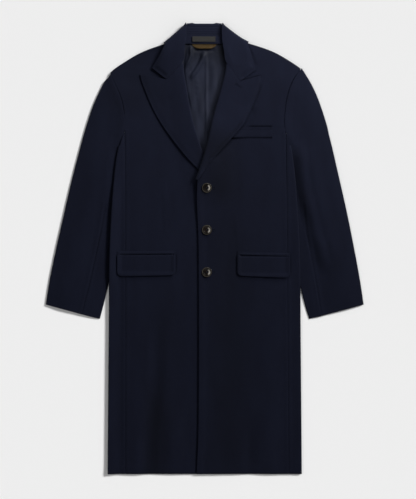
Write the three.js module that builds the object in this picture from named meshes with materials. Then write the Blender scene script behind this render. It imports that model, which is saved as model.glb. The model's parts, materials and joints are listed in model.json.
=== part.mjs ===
// A man's wool overcoat, buttoned and laid flat on its back, as a set of cut cloth pieces.
// Millimetres. +X is the wearer's left, +Y runs up to the collar, and +Z is up from the surface it lies on.
// The origin is on that surface, under the middle of the coat's outline.
// "out" is a distance from the middle line towards the side that a row names, and "up" is a place along Y.
import * as THREE from 'three';

// Cloth and make
const COAT_CLOTH = 2.0;
const FACING_CLOTH = 1.6;
const COLLAR_CLOTH = 3.7; // top collar, canvas and under collar together
const STAND_CLOTH = 3.4;
const LINING_CLOTH = 1.0;
const FLAP_CLOTH = 2.4;
const JET_CLOTH = 1.6;
const WELT_CLOTH = 2.4;
const LABEL_CLOTH = 1.0;
const LOOP_CLOTH = 1.3;
const SEAM = 0.3;
const ARMHOLE_SEAM = 0.6;
const LOFT = 0.9; // the air that stays between two layers
const BEND = 150; // how tightly a layer bends down over an edge below it
const STIFF_BEND = 60; // the same for the collar's layers and the hanger tape
const LABEL_BEND = 600;
const LINING_GAP = 0.4;
const TABLE = { halfWidth: 440, halfLength: 612, cell: 4 }; // the ground that the layers pile up on

// Lengths along the coat
const HEM_UP = -586;
const COLLAR_TOP_UP = 586;
const STAND_SEAM_UP = 558;
const BACK_NECK_UP = 532;
const NECK_POINT_UP = 545;
const GORGE_UP = 480;
const FRONT_SEAM_TOP_UP = 303;
const BREAK_UP = 179; // where the lapel's roll ends
const SKIRT_SECTIONS = 15;
const BACK_SKIRT_SECTIONS = 16;
const BACK_ROWS = 23;
const UNDERARM_UPS = [268, 242, 218];
const UNDERARM_CLEARANCE = 1;
const LOW_ROLL_UPS = [280, 255, 230, 205];

// Folded edges
const ROLL_INSET = 4.6;
const SIDE_INSET = 3.9;
const FACING_TUCK = 16;

const SIDES = [
  { name: 'right', sign: -1, shoulderUp: 457 },
  { name: 'left', sign: 1, shoulderUp: 468 },
];

// The front's outer edge: shoulder seam down to the shoulder point, then the armhole
const FRONT_OUTER = [
  { up: NECK_POINT_UP, right: 61, left: 70 },
  { up: 530, right: 109.5, left: 127.5 },
  { up: 514, right: 160, left: 177 },
  { up: 498, right: 189, left: 205 },
  { up: GORGE_UP, right: 217, left: 234 },
  { up: 468, right: 235, left: 250 },
  { up: 457, right: 246, left: 242 },
  { up: 440, right: 238, left: 229 },
  { up: 415, right: 225, left: 219 },
  { up: 390, right: 215, left: 212.5 },
  { up: 365, right: 209.5, left: 209.5 },
  { up: 340, right: 207.5, left: 208.5 },
  { up: 320, right: 207, left: 209 },
  { up: FRONT_SEAM_TOP_UP, right: 207.5, left: 211 },
];

// The seam between the front and the side body
const FRONT_SEAM = [
  { up: FRONT_SEAM_TOP_UP, right: 207.5, left: 211 },
  { up: 127, right: 206, left: 214 },
  { up: -224, right: 206, left: 216 },
  { up: HEM_UP, right: 206, left: 219 },
];

// The front's inner edge: the lapel's roll line down to its break, then the closing edge
const FRONT_INNER = [
  { up: NECK_POINT_UP, right: 48, left: 44 },
  { up: 510, right: 52, left: 50 },
  { up: 475, right: 55, left: 55 },
  { up: 440, right: 51, left: 49 },
  { up: 392, right: 43, left: 35 },
  { up: 342, right: 33, left: 22 },
  { up: 296, right: 20, left: 12 },
  { up: 257, right: 7, left: 2 },
  { up: 210, right: -8, left: -12 },
  { up: BREAK_UP, right: -18, left: -23 },
  { up: 127, right: -30, left: -21 },
  { up: 23, right: -31, left: -16 },
  { up: -471, right: -31, left: -16 },
  { up: HEM_UP, right: -29, left: -21 },
];

// The lapel's outer edge, from its tip down to the break
const LAPEL_EDGE = [
  { up: 453, right: 168, left: 155 },
  { up: 431, right: 163, left: 150 },
  { up: 413, right: 155, left: 143 },
  { up: 392, right: 147, left: 134 },
  { up: 361, right: 133, left: 120 },
  { up: 329, right: 115, left: 105 },
  { up: 293, right: 90, left: 75 },
  { up: 259, right: 64, left: 44 },
  { up: 228, right: 38, left: 17 },
  { up: 210, right: 20, left: 3 },
  { up: 192, right: 0, left: -6 },
  { up: 182, right: -11, left: -15 },
];
const NOTCH = { right: { out: 98.5, up: 439 }, left: { out: 93, up: 435 } };
const GORGE_COLUMNS = 3;
const LAPEL_COLUMNS = 6;

// The body's folded side, the same on both sides
const BODY_EDGE = [
  { up: 268, out: 222 },
  { up: 218, out: 231 },
  { up: 152, out: 237 },
  { up: 50, out: 243.5 },
  { up: -55, out: 247 },
  { up: -263, out: 249.5 },
  { up: HEM_UP, out: 252 },
];
const BACK_SEAM_OUT = 186;
const ARMPIT_EASE = 8;
const SHOULDER_EASE = 1.6; // the back's shoulder line lies this far in from the front's
const UNDERLAP = 3; // how far the under layers reach out below the armhole seam

// The armhole under the arm, between the front seam and the folded side
const ARMPIT = [
  { up: 286, out: 215 },
  { up: 268, out: 224 },
];

// Stations down the sleeve, from the armhole to the cuff: its outer and inner edge, and how far the
// forearm seam lies from the inner one
const SLEEVE = {
  right: [
    { outerOut: 246, outerUp: 457, innerOut: 224, innerUp: 264, strip: 7 },
    { outerOut: 280, outerUp: 400, innerOut: 228.8, innerUp: 240, strip: 7 },
    { outerOut: 302, outerUp: 342, innerOut: 233.6, innerUp: 210, strip: 7 },
    { outerOut: 322, outerUp: 276, innerOut: 237.2, innerUp: 172, strip: 7 },
    { outerOut: 341, outerUp: 205, innerOut: 240.6, innerUp: 128, strip: 11 },
    { outerOut: 357, outerUp: 139, innerOut: 243.6, innerUp: 80, strip: 18 },
    { outerOut: 372, outerUp: 72, innerOut: 246, innerUp: 30, strip: 27 },
    { outerOut: 387, outerUp: 6, innerOut: 248.2, innerUp: -22, strip: 36 },
    { outerOut: 400, outerUp: -55, innerOut: 252.5, innerUp: -84, strip: 44 },
    { outerOut: 409, outerUp: -103, innerOut: 263, innerUp: -138, strip: 47 },
    { outerOut: 415, outerUp: -145, innerOut: 275, innerUp: -183, strip: 47 },
  ],
  left: [
    { outerOut: 250, outerUp: 468, innerOut: 224.5, innerUp: 262, strip: 7 },
    { outerOut: 283, outerUp: 418, innerOut: 228.8, innerUp: 240, strip: 7 },
    { outerOut: 306, outerUp: 358, innerOut: 233.6, innerUp: 210, strip: 7 },
    { outerOut: 326.5, outerUp: 290, innerOut: 237.2, innerUp: 172, strip: 7 },
    { outerOut: 343, outerUp: 220, innerOut: 240.6, innerUp: 128, strip: 10 },
    { outerOut: 358, outerUp: 155, innerOut: 243.6, innerUp: 80, strip: 16 },
    { outerOut: 374, outerUp: 84, innerOut: 246, innerUp: 30, strip: 20 },
    { outerOut: 389, outerUp: 8, innerOut: 248, innerUp: -22, strip: 28 },
    { outerOut: 401, outerUp: -55, innerOut: 250.5, innerUp: -84, strip: 33 },
    { outerOut: 409, outerUp: -103, innerOut: 259, innerUp: -136, strip: 31 },
    { outerOut: 415, outerUp: -145, innerOut: 274, innerUp: -183, strip: 29 },
  ],
};
const HINDARM_SHARE = 0.72; // how far across the sleeve's back the second seam lies, from the inner edge
const SLEEVE_SECTIONS = 15;
const SLEEVE_LOFT = 1.1;
const HEAD_LIFT = 1.2; // the sleeve's head stands above the armhole seam
const HEAD_LIFT_FROM = 250;
const HEAD_LIFT_OVER = 150;

// The collar's leaf: corners and edges
const COLLAR = {
  right: { topOut: 46, shoulderOut: 107, shoulderUp: 535.5, cornerOut: 137, cornerUp: 470 },
  left: { topOut: 44, shoulderOut: 110, shoulderUp: 538.5, cornerOut: 134, cornerUp: 466 },
};
const COLLAR_ROWS = 6;
const COLLAR_NOTCH_ROW = 3;
const LEAF_COLUMNS = 5;
const COLLAR_BACK_COLUMNS = 8;
const COLLAR_BACK_DROP = 74; // how far the fall reaches down behind the back neck
const COLLAR_FOLD_INSET = 6.6;
const COLLAR_TOP_INSET = 7.2;
const COLLAR_FOLD_WAY = { out: 0.62, up: 0.78 }; // square to the collar's outer edge
const COLLAR_FOLD_DIP = 1.5;
const COLLAR_BACK_ROUND = 0.7;
const LEAF_HOLLOW = 2.5; // how far the leaf's outer edge curves in
const COLLAR_TOP_RISE = 3.3; // the fold is tighter between the leaves, so its line lies higher
const BAND_FLARE = 12;
const STAND_FLARE = 1.12;
const GORGE_GAP = 0.4;
const GORGE_RISE = 8;

// Small pieces: out and up of their corners
const WELT = { inner: 74, outer: 176, topOuter: 318, topInner: 318, depth: 29 };
const POCKETS = {
  right: { outer: 227, inner: 76, topOuter: -16, topInner: -13, depth: 56, corner: 9 },
  left: { outer: 222, inner: 85, topOuter: -21, topInner: -15, depth: 55, corner: 9 },
};
const JET_HEIGHT = 9;
const FLAP_ACROSS = [0, 0.02, 0.06, 0.2, 0.35, 0.5, 0.65, 0.8, 0.94, 0.98, 1];
const ROUND_CUT = 0.29; // the share of its radius that a rounded corner cuts off halfway
const LABEL = { halfWidth: 30, centre: -2, top: 551, bottom: 537 };
const HANGER = { halfWidth: 32, centre: -1, top: 531.4, bottom: 517, cut: 14 };
const BUTTON = { radius: 13, rim: 2.6, height: 4.6, dish: 1.7, out: 5.5, facets: 24 };
const BUTTON_UPS = [158, 49, -61];

// The lining where the neck shows it
const LINING = [
  { up: BACK_NECK_UP - 1, right: 70, left: 66 },
  { up: 475, right: 80, left: 80 },
  { up: 392, right: 68, left: 62 },
  { up: 296, right: 48, left: 42 },
  { up: 230, right: 36, left: 30 },
  { up: 190, right: 30, left: 24 },
];

// Large folds: each runs between two points, is this wide, and lifts or presses the cloth by this much
const FOLDS = [
  { fromX: 234, fromUp: 250, toX: 252, toUp: 130, width: 26, lift: -0.8 },
  { fromX: 252, fromUp: 130, toX: 278, toUp: 30, width: 26, lift: -0.9 },
  { fromX: 278, fromUp: 30, toX: 309, toUp: -70, width: 26, lift: -0.9 },
  { fromX: 262, fromUp: 250, toX: 284, toUp: 120, width: 30, lift: 1.3 },
  { fromX: 284, fromUp: 120, toX: 318, toUp: -10, width: 30, lift: 1.3 },
  { fromX: -262, fromUp: 240, toX: -300, toUp: 90, width: 40, lift: 1.2 },
  { fromX: -318, fromUp: 250, toX: -345, toUp: 60, width: 30, lift: -0.7 },
  { fromX: -127, fromUp: -400, toX: -127, toUp: -600, width: 34, lift: -0.9 },
  { fromX: -88, fromUp: -430, toX: -86, toUp: -600, width: 40, lift: 1.3 },
  { fromX: -166, fromUp: -420, toX: -168, toUp: -600, width: 36, lift: 1.1 },
  { fromX: 118, fromUp: -440, toX: 118, toUp: -600, width: 34, lift: -0.8 },
  { fromX: 82, fromUp: -440, toX: 82, toUp: -600, width: 36, lift: 1.1 },
  { fromX: 156, fromUp: -430, toX: 158, toUp: -600, width: 38, lift: 1.2 },
];

// Colours from the cloth in soft light
const finish = (color, roughness) =>
  new THREE.MeshStandardMaterial({ color, roughness, metalness: 0, side: THREE.DoubleSide });
const NAVY_WOOL = finish(0x191e27, 0.95);
const NAVY_SATIN = finish(0x2c2f3d, 0.45);
const BRONZE_TAPE = finish(0x5c4424, 0.6);
const CHARCOAL_TAPE = finish(0x383836, 0.7);
const BROWN_HORN = finish(0x2a2118, 0.25);

const mix = (a, b, t) => a + (b - a) * t;
const place = (x, y) => ({ x, y, z: 0, nx: 0, ny: 0, nz: 1 });
const between = (a, b, t) => place(mix(a.x, b.x, t), mix(a.y, b.y, t));
const steps = (count) => Array.from({ length: count + 1 }, (_, i) => i / count);

// A value of one column at a place along the rows of a table, on a smooth line through them
function along(rows, column, up) {
  const last = rows.length - 2;
  let i = 0;
  while (i < last && up < rows[i + 1].up) i += 1;
  const slope = (k) => {
    const a = rows[Math.max(k - 1, 0)];
    const b = rows[Math.min(k + 1, rows.length - 1)];
    return (b[column] - a[column]) / (b.up - a.up);
  };
  const span = rows[i + 1].up - rows[i].up;
  const t = Math.min(Math.max((up - rows[i].up) / span, 0), 1);
  const [a, b] = [rows[i][column], rows[i + 1][column]];
  const [m, n] = [slope(i) * span, slope(i + 1) * span];
  const ease = t * t * (3 - 2 * t);
  return mix(a, b, ease) + m * t * (1 - t) ** 2 + n * t * t * (t - 1);
}

// A grid between four edges, each a function of 0 to 1; rows run from top to bottom
function patch(top, bottom, start, end, downs, acrosses) {
  const corner = { a: top(0), b: top(1), c: bottom(0), d: bottom(1) };
  return downs.map((v) => acrosses.map((u) => {
    const [s, e, t, b] = [start(v), end(v), top(u), bottom(u)];
    const blend = (k) => mix(s[k], e[k], u) + mix(t[k], b[k], v)
      - mix(mix(corner.a[k], corner.b[k], u), mix(corner.c[k], corner.d[k], u), v);
    return place(blend('x'), blend('y'));
  }));
}

// A line through several points, as a function of 0 to 1 that reaches them at equal steps
function through(points) {
  return (t) => {
    const at = Math.min(t * (points.length - 1), points.length - 1 - 1e-9);
    const i = Math.floor(at);
    return between(points[i], points[i + 1], at - i);
  };
}

// How much the large folds lift the cloth at a place
function foldLift(x, y) {
  let lift = 0;
  for (const f of FOLDS) {
    const [dx, dy] = [f.toX - f.fromX, f.toUp - f.fromUp];
    const t = ((x - f.fromX) * dx + (y - f.fromUp) * dy) / (dx * dx + dy * dy);
    const near = Math.min(Math.max(t, 0), 1);
    const away = Math.hypot(x - f.fromX - near * dx, y - f.fromUp - near * dy);
    if (away < f.width) lift += f.lift * Math.cos((away / f.width) * Math.PI / 2) ** 2;
  }
  return lift;
}

// The height of all that is laid so far, on a square net
class Pile {
  constructor(halfWidth, halfLength, step) {
    Object.assign(this, { halfWidth, halfLength, step });
    this.across = Math.ceil((2 * halfWidth) / step) + 1;
    this.down = Math.ceil((2 * halfLength) / step) + 1;
    this.height = new Float64Array(this.across * this.down);
  }

  copy() {
    const same = new Pile(this.halfWidth, this.halfLength, this.step);
    same.height.set(this.height);
    return same;
  }

  at(x, y, heights = this.height) {
    const gx = Math.min(Math.max((x + this.halfWidth) / this.step, 0), this.across - 1.001);
    const gy = Math.min(Math.max((y + this.halfLength) / this.step, 0), this.down - 1.001);
    const [i, j] = [Math.floor(gx), Math.floor(gy)];
    const k = j * this.across + i;
    const low = mix(heights[k], heights[k + 1], gx - i);
    return mix(low, mix(heights[k + this.across], heights[k + this.across + 1], gx - i), gy - j);
  }

  // The heights of a sheet that lies on the pile and bends down past each edge like a wide arch
  draped(bend) {
    const reach = Math.ceil(Math.sqrt(2 * bend * 22) / this.step);
    const drop = steps(reach).map((_, d) => ((d * this.step) ** 2) / (2 * bend));
    const spread = (from, count, stride, lines, lineStride) => {
      const out = new Float64Array(from.length);
      for (let line = 0; line < lines; line += 1) {
        for (let i = 0; i < count; i += 1) {
          let best = 0;
          for (let k = Math.max(0, i - reach); k <= Math.min(count - 1, i + reach); k += 1) {
            best = Math.max(best, from[line * lineStride + k * stride] - drop[Math.abs(i - k)]);
          }
          out[line * lineStride + i * stride] = best;
        }
      }
      return out;
    };
    const rowwise = spread(this.height, this.across, 1, this.down, this.across);
    return spread(rowwise, this.down, this.across, this.across, 1);
  }

  // Calls visit with each net point in or beside a triangle, and the triangle's height there
  eachUnder(a, b, c, visit) {
    const area = (b.x - a.x) * (c.y - a.y) - (c.x - a.x) * (b.y - a.y);
    if (Math.abs(area) < 1e-6) return;
    const range = (key, half, most) => {
      const values = [a[key], b[key], c[key]];
      const low = Math.floor((Math.min(...values) - this.step + half) / this.step);
      const high = Math.ceil((Math.max(...values) + this.step + half) / this.step);
      return [Math.max(low, 0), Math.min(high, most - 1)];
    };
    const [i0, i1] = range('x', this.halfWidth, this.across);
    const [j0, j1] = range('y', this.halfLength, this.down);
    const away = (p, q, x, y) => {
      const cross = ((q.x - p.x) * (y - p.y) - (x - p.x) * (q.y - p.y)) * Math.sign(area);
      return cross / Math.hypot(q.x - p.x, q.y - p.y);
    };
    for (let j = j0; j <= j1; j += 1) {
      for (let i = i0; i <= i1; i += 1) {
        const x = i * this.step - this.halfWidth;
        const y = j * this.step - this.halfLength;
        if (Math.min(away(a, b, x, y), away(b, c, x, y), away(c, a, x, y)) > -this.step) {
          const v = ((x - a.x) * (c.y - a.y) - (c.x - a.x) * (y - a.y)) / area;
          const w = ((b.x - a.x) * (y - a.y) - (x - a.x) * (b.y - a.y)) / area;
          const z = a.z + v * (b.z - a.z) + w * (c.z - a.z);
          const [low, high] = [Math.min(a.z, b.z, c.z), Math.max(a.z, b.z, c.z)];
          visit(j * this.across + i, Math.min(Math.max(z, low), high));
        }
      }
    }
  }

  // Adds a laid grid, half a thickness above its points
  cover(grid, half) {
    eachTriangle(grid, (a, b, c) => this.eachUnder(a, b, c, (k, z) => {
      this.height[k] = Math.max(this.height[k], z + half);
    }));
  }
}

function eachTriangle(grid, visit) {
  for (let r = 0; r + 1 < grid.length; r += 1) {
    for (let c = 0; c + 1 < grid[r].length; c += 1) {
      visit(grid[r][c], grid[r][c + 1], grid[r + 1][c + 1]);
      visit(grid[r][c], grid[r + 1][c + 1], grid[r + 1][c]);
    }
  }
}

const pile = new Pile(TABLE.halfWidth, TABLE.halfLength, TABLE.cell);

// Lays a grid on the pile: it follows what is below, keeps a seam's gap to it, and joins the pile.
// A piece that is sewn edge to edge with another lies on the pile as it was before that one.
function lay(grid, { cloth, on = pile, gap = SEAM, bend = BEND, lift = () => 0 }) {
  const rest = on.draped(bend);
  const half = cloth / 2;
  for (const p of grid.flat()) p.z = on.at(p.x, p.y, rest) + gap + half + lift(p.x, p.y);
  for (let round = 0; round < 3; round += 1) {
    eachTriangle(grid, (a, b, c) => {
      let short = 0;
      on.eachUnder(a, b, c, (k, z) => {
        short = Math.max(short, on.height[k] + gap - (z - half));
      });
      if (short > 1e-6) [a, b, c].forEach((p) => { p.z += short; });
    });
  }
  pile.cover(grid, half);
  return grid;
}

// Lays a grid flat on the ground or on what already lies there
const layLow = (grid, cloth, on = pile) => lay(grid, { cloth, on, gap: 0 });

// The points of a half turn from a lower point to an upper one above it, bulging the way (ox, oy)
function halfTurn(lower, upper, ox, oy, count, { inward = 1, bulge = (upper.z - lower.z) / 2 } = {}) {
  const radius = (upper.z - lower.z) / 2;
  return steps(count).slice(1, -1).map((t) => {
    const angle = (t - 0.5) * Math.PI;
    const [c, s] = [Math.cos(angle), Math.sin(angle)];
    const at = between(lower, upper, t);
    const [out, up] = [c * radius, s * bulge];
    const length = Math.hypot(out, up) * inward;
    return {
      x: at.x + ox * bulge * c,
      y: at.y + oy * bulge * c,
      z: (upper.z + lower.z) / 2 + radius * s,
      nx: (ox * out) / length,
      ny: (oy * out) / length,
      nz: up / length,
    };
  });
}

const facing = (points, nz) => points.map((p) => ({ ...p, nx: 0, ny: 0, nz }));

// A closed wall: a grid's points moved half the cloth's thickness each way, and a rim round its edge.
// A cell whose corners aren't all there is left out.
function wall(grid, cloth) {
  const positions = [];
  const number = new Map();
  const corner = (p) => {
    if (!number.has(p)) {
      number.set(p, positions.length / 3);
      for (const way of [0.5, -0.5]) {
        positions.push(p.x + p.nx * cloth * way, p.y + p.ny * cloth * way, p.z + p.nz * cloth * way);
      }
    }
    return number.get(p);
  };
  const index = [];
  const edges = new Map();
  const addEdge = (a, b) => {
    if (edges.has(`${b},${a}`)) edges.delete(`${b},${a}`);
    else edges.set(`${a},${b}`, [a, b]);
  };
  for (let r = 0; r + 1 < grid.length; r += 1) {
    for (let c = 0; c + 1 < Math.min(grid[r].length, grid[r + 1].length); c += 1) {
      const cell = [grid[r][c], grid[r + 1][c], grid[r + 1][c + 1], grid[r][c + 1]];
      if (cell.every((p) => p)) {
        const [p, q, s, t] = cell.map(corner);
        index.push(p, q, s, p, s, t, p + 1, s + 1, q + 1, p + 1, t + 1, s + 1);
        [[p, q], [q, s], [s, t], [t, p]].forEach(([a, b]) => addEdge(a, b));
      }
    }
  }
  for (const [a, b] of edges.values()) index.push(a, a + 1, b + 1, a, b + 1, b);
  return closed(positions, index);
}

// A geometry with its faces turned outwards
function closed(positions, index) {
  let volume = 0;
  const at = (i) => new THREE.Vector3(positions[3 * i], positions[3 * i + 1], positions[3 * i + 2]);
  for (let i = 0; i < index.length; i += 3) {
    volume += at(index[i]).dot(at(index[i + 1]).cross(at(index[i + 2])));
  }
  if (volume < 0) index.reverse();
  const geometry = new THREE.BufferGeometry();
  geometry.setAttribute('position', new THREE.Float32BufferAttribute(positions, 3));
  geometry.setIndex(index);
  geometry.computeVertexNormals();
  return geometry;
}

const coat = new THREE.Group();
function add(name, geometry, material) {
  const mesh = new THREE.Mesh(geometry, material);
  mesh.name = name;
  coat.add(mesh);
  return mesh;
}

// Collar fall, its hidden back part first: from the collar's top edge down behind the back neck
const collarTop = (side) => place(side.sign * COLLAR[side.name].topOut, COLLAR_TOP_UP - COLLAR_TOP_INSET);
const collarShoulder = (side) => place(
  side.sign * (COLLAR[side.name].shoulderOut - COLLAR_FOLD_INSET * COLLAR_FOLD_WAY.out),
  COLLAR[side.name].shoulderUp - COLLAR_FOLD_INSET * COLLAR_FOLD_WAY.up,
);
const collarFold = (side) => (v) => {
  const straight = between(collarTop(side), collarShoulder(side), v);
  straight.y -= Math.sin(v * Math.PI) * COLLAR_FOLD_DIP;
  return straight;
};
const collarBack = patch(
  (u) => {
    const line = between(collarTop(SIDES[0]), collarTop(SIDES[1]), u);
    line.y += COLLAR_TOP_RISE * (u > 0 && u < 1 ? 1 : 0);
    return line;
  },
  (u) => {
    const line = between(collarShoulder(SIDES[0]), collarShoulder(SIDES[1]), u);
    const drop = line.y - (COLLAR_TOP_UP - COLLAR_BACK_DROP);
    line.y -= drop * Math.sin(u * Math.PI) ** COLLAR_BACK_ROUND;
    return line;
  },
  collarFold(SIDES[0]),
  collarFold(SIDES[1]),
  steps(COLLAR_ROWS),
  steps(COLLAR_BACK_COLUMNS),
);
layLow(collarBack, COLLAR_CLOTH);

// Back: a plain panel from the shoulders and armholes down to the hem
const frontOuter = (side, up) => place(
  side.sign * along(up >= FRONT_SEAM_TOP_UP ? FRONT_OUTER : FRONT_SEAM, side.name, up),
  up,
);
const ARMHOLE_ROWS = FRONT_OUTER.map((row) => row.up);
const armholeUps = (side) => ARMHOLE_ROWS.filter((up) => up <= side.shoulderUp);
const exactOuter = (side, up) => {
  const row = FRONT_OUTER.find((r) => r.up === up);
  return row ? place(side.sign * row[side.name], up) : frontOuter(side, up);
};
const backSide = (side) => (v) => {
  const ups = armholeUps(side);
  const armpit = ups.length - 1;
  const points = ups.map((up) => {
    const p = exactOuter(side, up);
    if (up < side.shoulderUp) p.x += side.sign * UNDERLAP;
    return p;
  });
  points[armpit].x = side.sign * (BACK_SEAM_OUT + ARMPIT_EASE);
  const start = points[armpit].y;
  const skirtShares = steps(BACK_SKIRT_SECTIONS).slice(1);
  const skirt = skirtShares.map((t) => place(side.sign * BACK_SEAM_OUT, mix(start, HEM_UP, t)));
  return through([...points, ...skirt])(v);
};
const shoulderLine = (side) => ARMHOLE_ROWS.filter((up) => up >= side.shoulderUp).map((up) => {
  const p = exactOuter(side, up);
  if (up > side.shoulderUp) p.y -= SHOULDER_EASE;
  return p;
});
const NECK_CURVE = [
  { x: -62, up: 541 },
  { x: -36, up: BACK_NECK_UP + 1 },
  { x: 0, up: BACK_NECK_UP - 1 },
  { x: 36, up: BACK_NECK_UP + 1 },
  { x: 62, up: 541 },
];
const backTop = [
  ...shoulderLine(SIDES[0]).reverse(),
  ...NECK_CURVE.map((row) => place(row.x, row.up)),
  ...shoulderLine(SIDES[1]),
];
const backGrid = patch(
  through(backTop),
  (u) => place(mix(-BACK_SEAM_OUT, BACK_SEAM_OUT, u), HEM_UP),
  backSide(SIDES[0]),
  backSide(SIDES[1]),
  steps(BACK_ROWS),
  steps(backTop.length - 1),
);
layLow(backGrid, COAT_CLOTH);
add('back', wall(backGrid, COAT_CLOTH), NAVY_WOOL);

// Side bodies and sleeves start with their under layers
const skirtUps = steps(SKIRT_SECTIONS).slice(1).map((t) => mix(BREAK_UP, HEM_UP, t));
const sideUps = [...UNDERARM_UPS, BREAK_UP, ...skirtUps];
const sideFold = (side, up) => place(side.sign * (along(BODY_EDGE, 'out', up) - SIDE_INSET), up);
const SIDE_UNDER_COLUMNS = 2;
const SIDE_UPPER_COLUMNS = 2;
const sideParts = SIDES.map((side) => {
  const seamOut = BACK_SEAM_OUT + SEAM;
  const underarm = place(side.sign * (ARMPIT[0].out - UNDERARM_CLEARANCE), ARMPIT[0].up);
  const underarmLow = place(underarm.x + side.sign * UNDERLAP, underarm.y);
  const line = (from, to, count, via) => steps(count).map(through(via ? [from, via, to] : [from, to]));
  const seamUp = (up, row) => (row === 0 ? FRONT_SEAM_TOP_UP : up);
  const under = sideUps.map((up, row) => {
    const seam = place(side.sign * (seamOut + (row === 0 ? ARMPIT_EASE : 0)), seamUp(up, row));
    return line(seam, sideFold(side, up), SIDE_UNDER_COLUMNS, row === 0 && underarmLow);
  });
  const upper = sideUps.map((up, row) => {
    const seam = frontOuter(side, seamUp(up, row));
    seam.x += side.sign * SEAM;
    return line(sideFold(side, up), seam, SIDE_UPPER_COLUMNS, row === 0 && underarm);
  });
  layLow(under, COAT_CLOTH);
  return { side, under, upper };
});

const sleeveParts = SIDES.map((side) => {
  const rows = SLEEVE[side.name].map((row, i) => ({ ...row, up: -i }));
  const stations = steps(SLEEVE_SECTIONS).map((t) => {
    const read = (column) => along(rows, column, -t * (rows.length - 1));
    const outer = place(side.sign * read('outerOut'), read('outerUp'));
    const inner = place(side.sign * read('innerOut'), read('innerUp'));
    const width = Math.hypot(outer.x - inner.x, outer.y - inner.y);
    const inset = SIDE_INSET / width;
    return {
      outer: between(outer, inner, inset),
      inner: between(inner, outer, inset),
      seam: between(inner, outer, read('strip') / width),
      hind: between(inner, outer, HINDARM_SHARE),
      ox: (outer.x - inner.x) / width,
      oy: (outer.y - inner.y) / width,
    };
  });
  return { side, stations };
});

// The armhole's points for the sleeve's head, from the shoulder point to the armpit
const sleeveHead = (side, count, reach = 0) => {
  const armhole = armholeUps(side).map((up) => exactOuter(side, up));
  armhole.push(...ARMPIT.map((row) => place(side.sign * row.out, row.up)));
  return steps(count).map((t) => {
    const p = through(armhole)(t);
    p.x += side.sign * (ARMHOLE_SEAM + reach);
    return p;
  });
};
const HEAD_COLUMNS = 12;
const TOP_SLEEVE_COLUMNS = 7;
const STRIP_COLUMNS = 2;
const BACK_SLEEVE_COLUMNS = 5;
const HIND_COLUMNS = 2;
const HEAD_SEAM_STEPS = 1.6; // where the forearm seam meets the armhole, in columns from the armpit
const HEAD_END_STEPS = 0.35;
const HEAD_HIND_SHARE = 0.28; // where the hindarm seam meets the armhole
for (const part of sleeveParts) {
  const { side, stations } = part;
  const upperHead = through(sleeveHead(side, HEAD_COLUMNS));
  const lowerHead = through(sleeveHead(side, HEAD_COLUMNS, UNDERLAP));
  const cross = (from, to, count, head, headFrom, headTo) => stations.map((station, row) => (
    steps(count).map((t) => (
      row > 0 ? between(station[from], station[to], t) : head(mix(headFrom, headTo, t))
    ))
  ));
  const split = 1 - HEAD_SEAM_STEPS / HEAD_COLUMNS;
  const last = 1 - HEAD_END_STEPS / HEAD_COLUMNS;
  const seamed = (grid, column, way) => grid.map((row) => row.map((p, c) => {
    if (c === column) p.x += way * part.side.sign * (SEAM / 2);
    return p;
  }));
  part.topUpper = seamed(cross('seam', 'outer', TOP_SLEEVE_COLUMNS, upperHead, split, 0), 0, 1);
  part.underUpper = seamed(cross('inner', 'seam', STRIP_COLUMNS, upperHead, last, split), STRIP_COLUMNS, -1);
  part.topLower = seamed(cross('outer', 'hind', HIND_COLUMNS, lowerHead, 0, HEAD_HIND_SHARE), HIND_COLUMNS, 1);
  const hindStrip = cross('hind', 'inner', BACK_SLEEVE_COLUMNS, lowerHead, HEAD_HIND_SHARE, last);
  part.underLower = seamed(hindStrip, 0, -1);
  layLow(part.topLower, COAT_CLOTH);
  layLow(part.underLower, COAT_CLOTH);
}

const underLayers = pile.copy();

// Lining in the neck, the collar's inside band and its stand
const LINING_ROWS = 11;
const LINING_COLUMNS = 8;
const liningGrid = steps(LINING_ROWS).map((t) => {
  const up = mix(LINING[0].up, LINING.at(-1).up, t);
  const [a, b] = [place(-along(LINING, 'right', up), up), place(along(LINING, 'left', up), up)];
  return steps(LINING_COLUMNS).map((u) => between(a, b, u));
});
lay(liningGrid, { cloth: LINING_CLOTH, gap: LINING_GAP });
add('back_lining', wall(liningGrid, LINING_CLOTH), NAVY_SATIN);

const BAND_ROWS = 2;
const bandGrid = steps(BAND_ROWS).map((v) => collarBack[0].map((p) => place(
  p.x + Math.sign(p.x) * BAND_FLARE * v * (Math.abs(p.x) / COLLAR.right.topOut),
  mix(p.y, STAND_SEAM_UP + SEAM / 2, v),
)));
const beforeBand = pile.copy();
lay(bandGrid, { cloth: COLLAR_CLOTH, bend: STIFF_BEND });
const bandSide = bandGrid.at(-1);
const standGrid = steps(2).map((v) => steps(COLLAR_BACK_COLUMNS).map((u) => place(
  mix(bandSide[0].x, bandSide.at(-1).x, u) * mix(1, STAND_FLARE, v),
  mix(STAND_SEAM_UP - SEAM, BACK_NECK_UP, v),
)));
lay(standGrid, { cloth: STAND_CLOTH, on: beforeBand, bend: STIFF_BEND });
add('collar_stand', wall(standGrid, STAND_CLOTH), NAVY_WOOL);

const labelGrid = steps(1).map((v) => steps(4).map((u) => place(
  LABEL.centre + mix(-LABEL.halfWidth, LABEL.halfWidth, u),
  mix(LABEL.top, LABEL.bottom, v),
)));
lay(labelGrid, { cloth: LABEL_CLOTH, bend: LABEL_BEND });
add('neck_label', wall(labelGrid, LABEL_CLOTH), CHARCOAL_TAPE);

const hangerGrid = steps(2).map((v) => steps(6).map((u) => place(
  HANGER.centre + mix(-1, 1, u) * (HANGER.halfWidth - HANGER.cut * v * v),
  mix(HANGER.top, HANGER.bottom, v),
)));
lay(hangerGrid, { cloth: LOOP_CLOTH, on: beforeBand, bend: STIFF_BEND });
add('hanger_loop', wall(hangerGrid, LOOP_CLOTH), BRONZE_TAPE);

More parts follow.
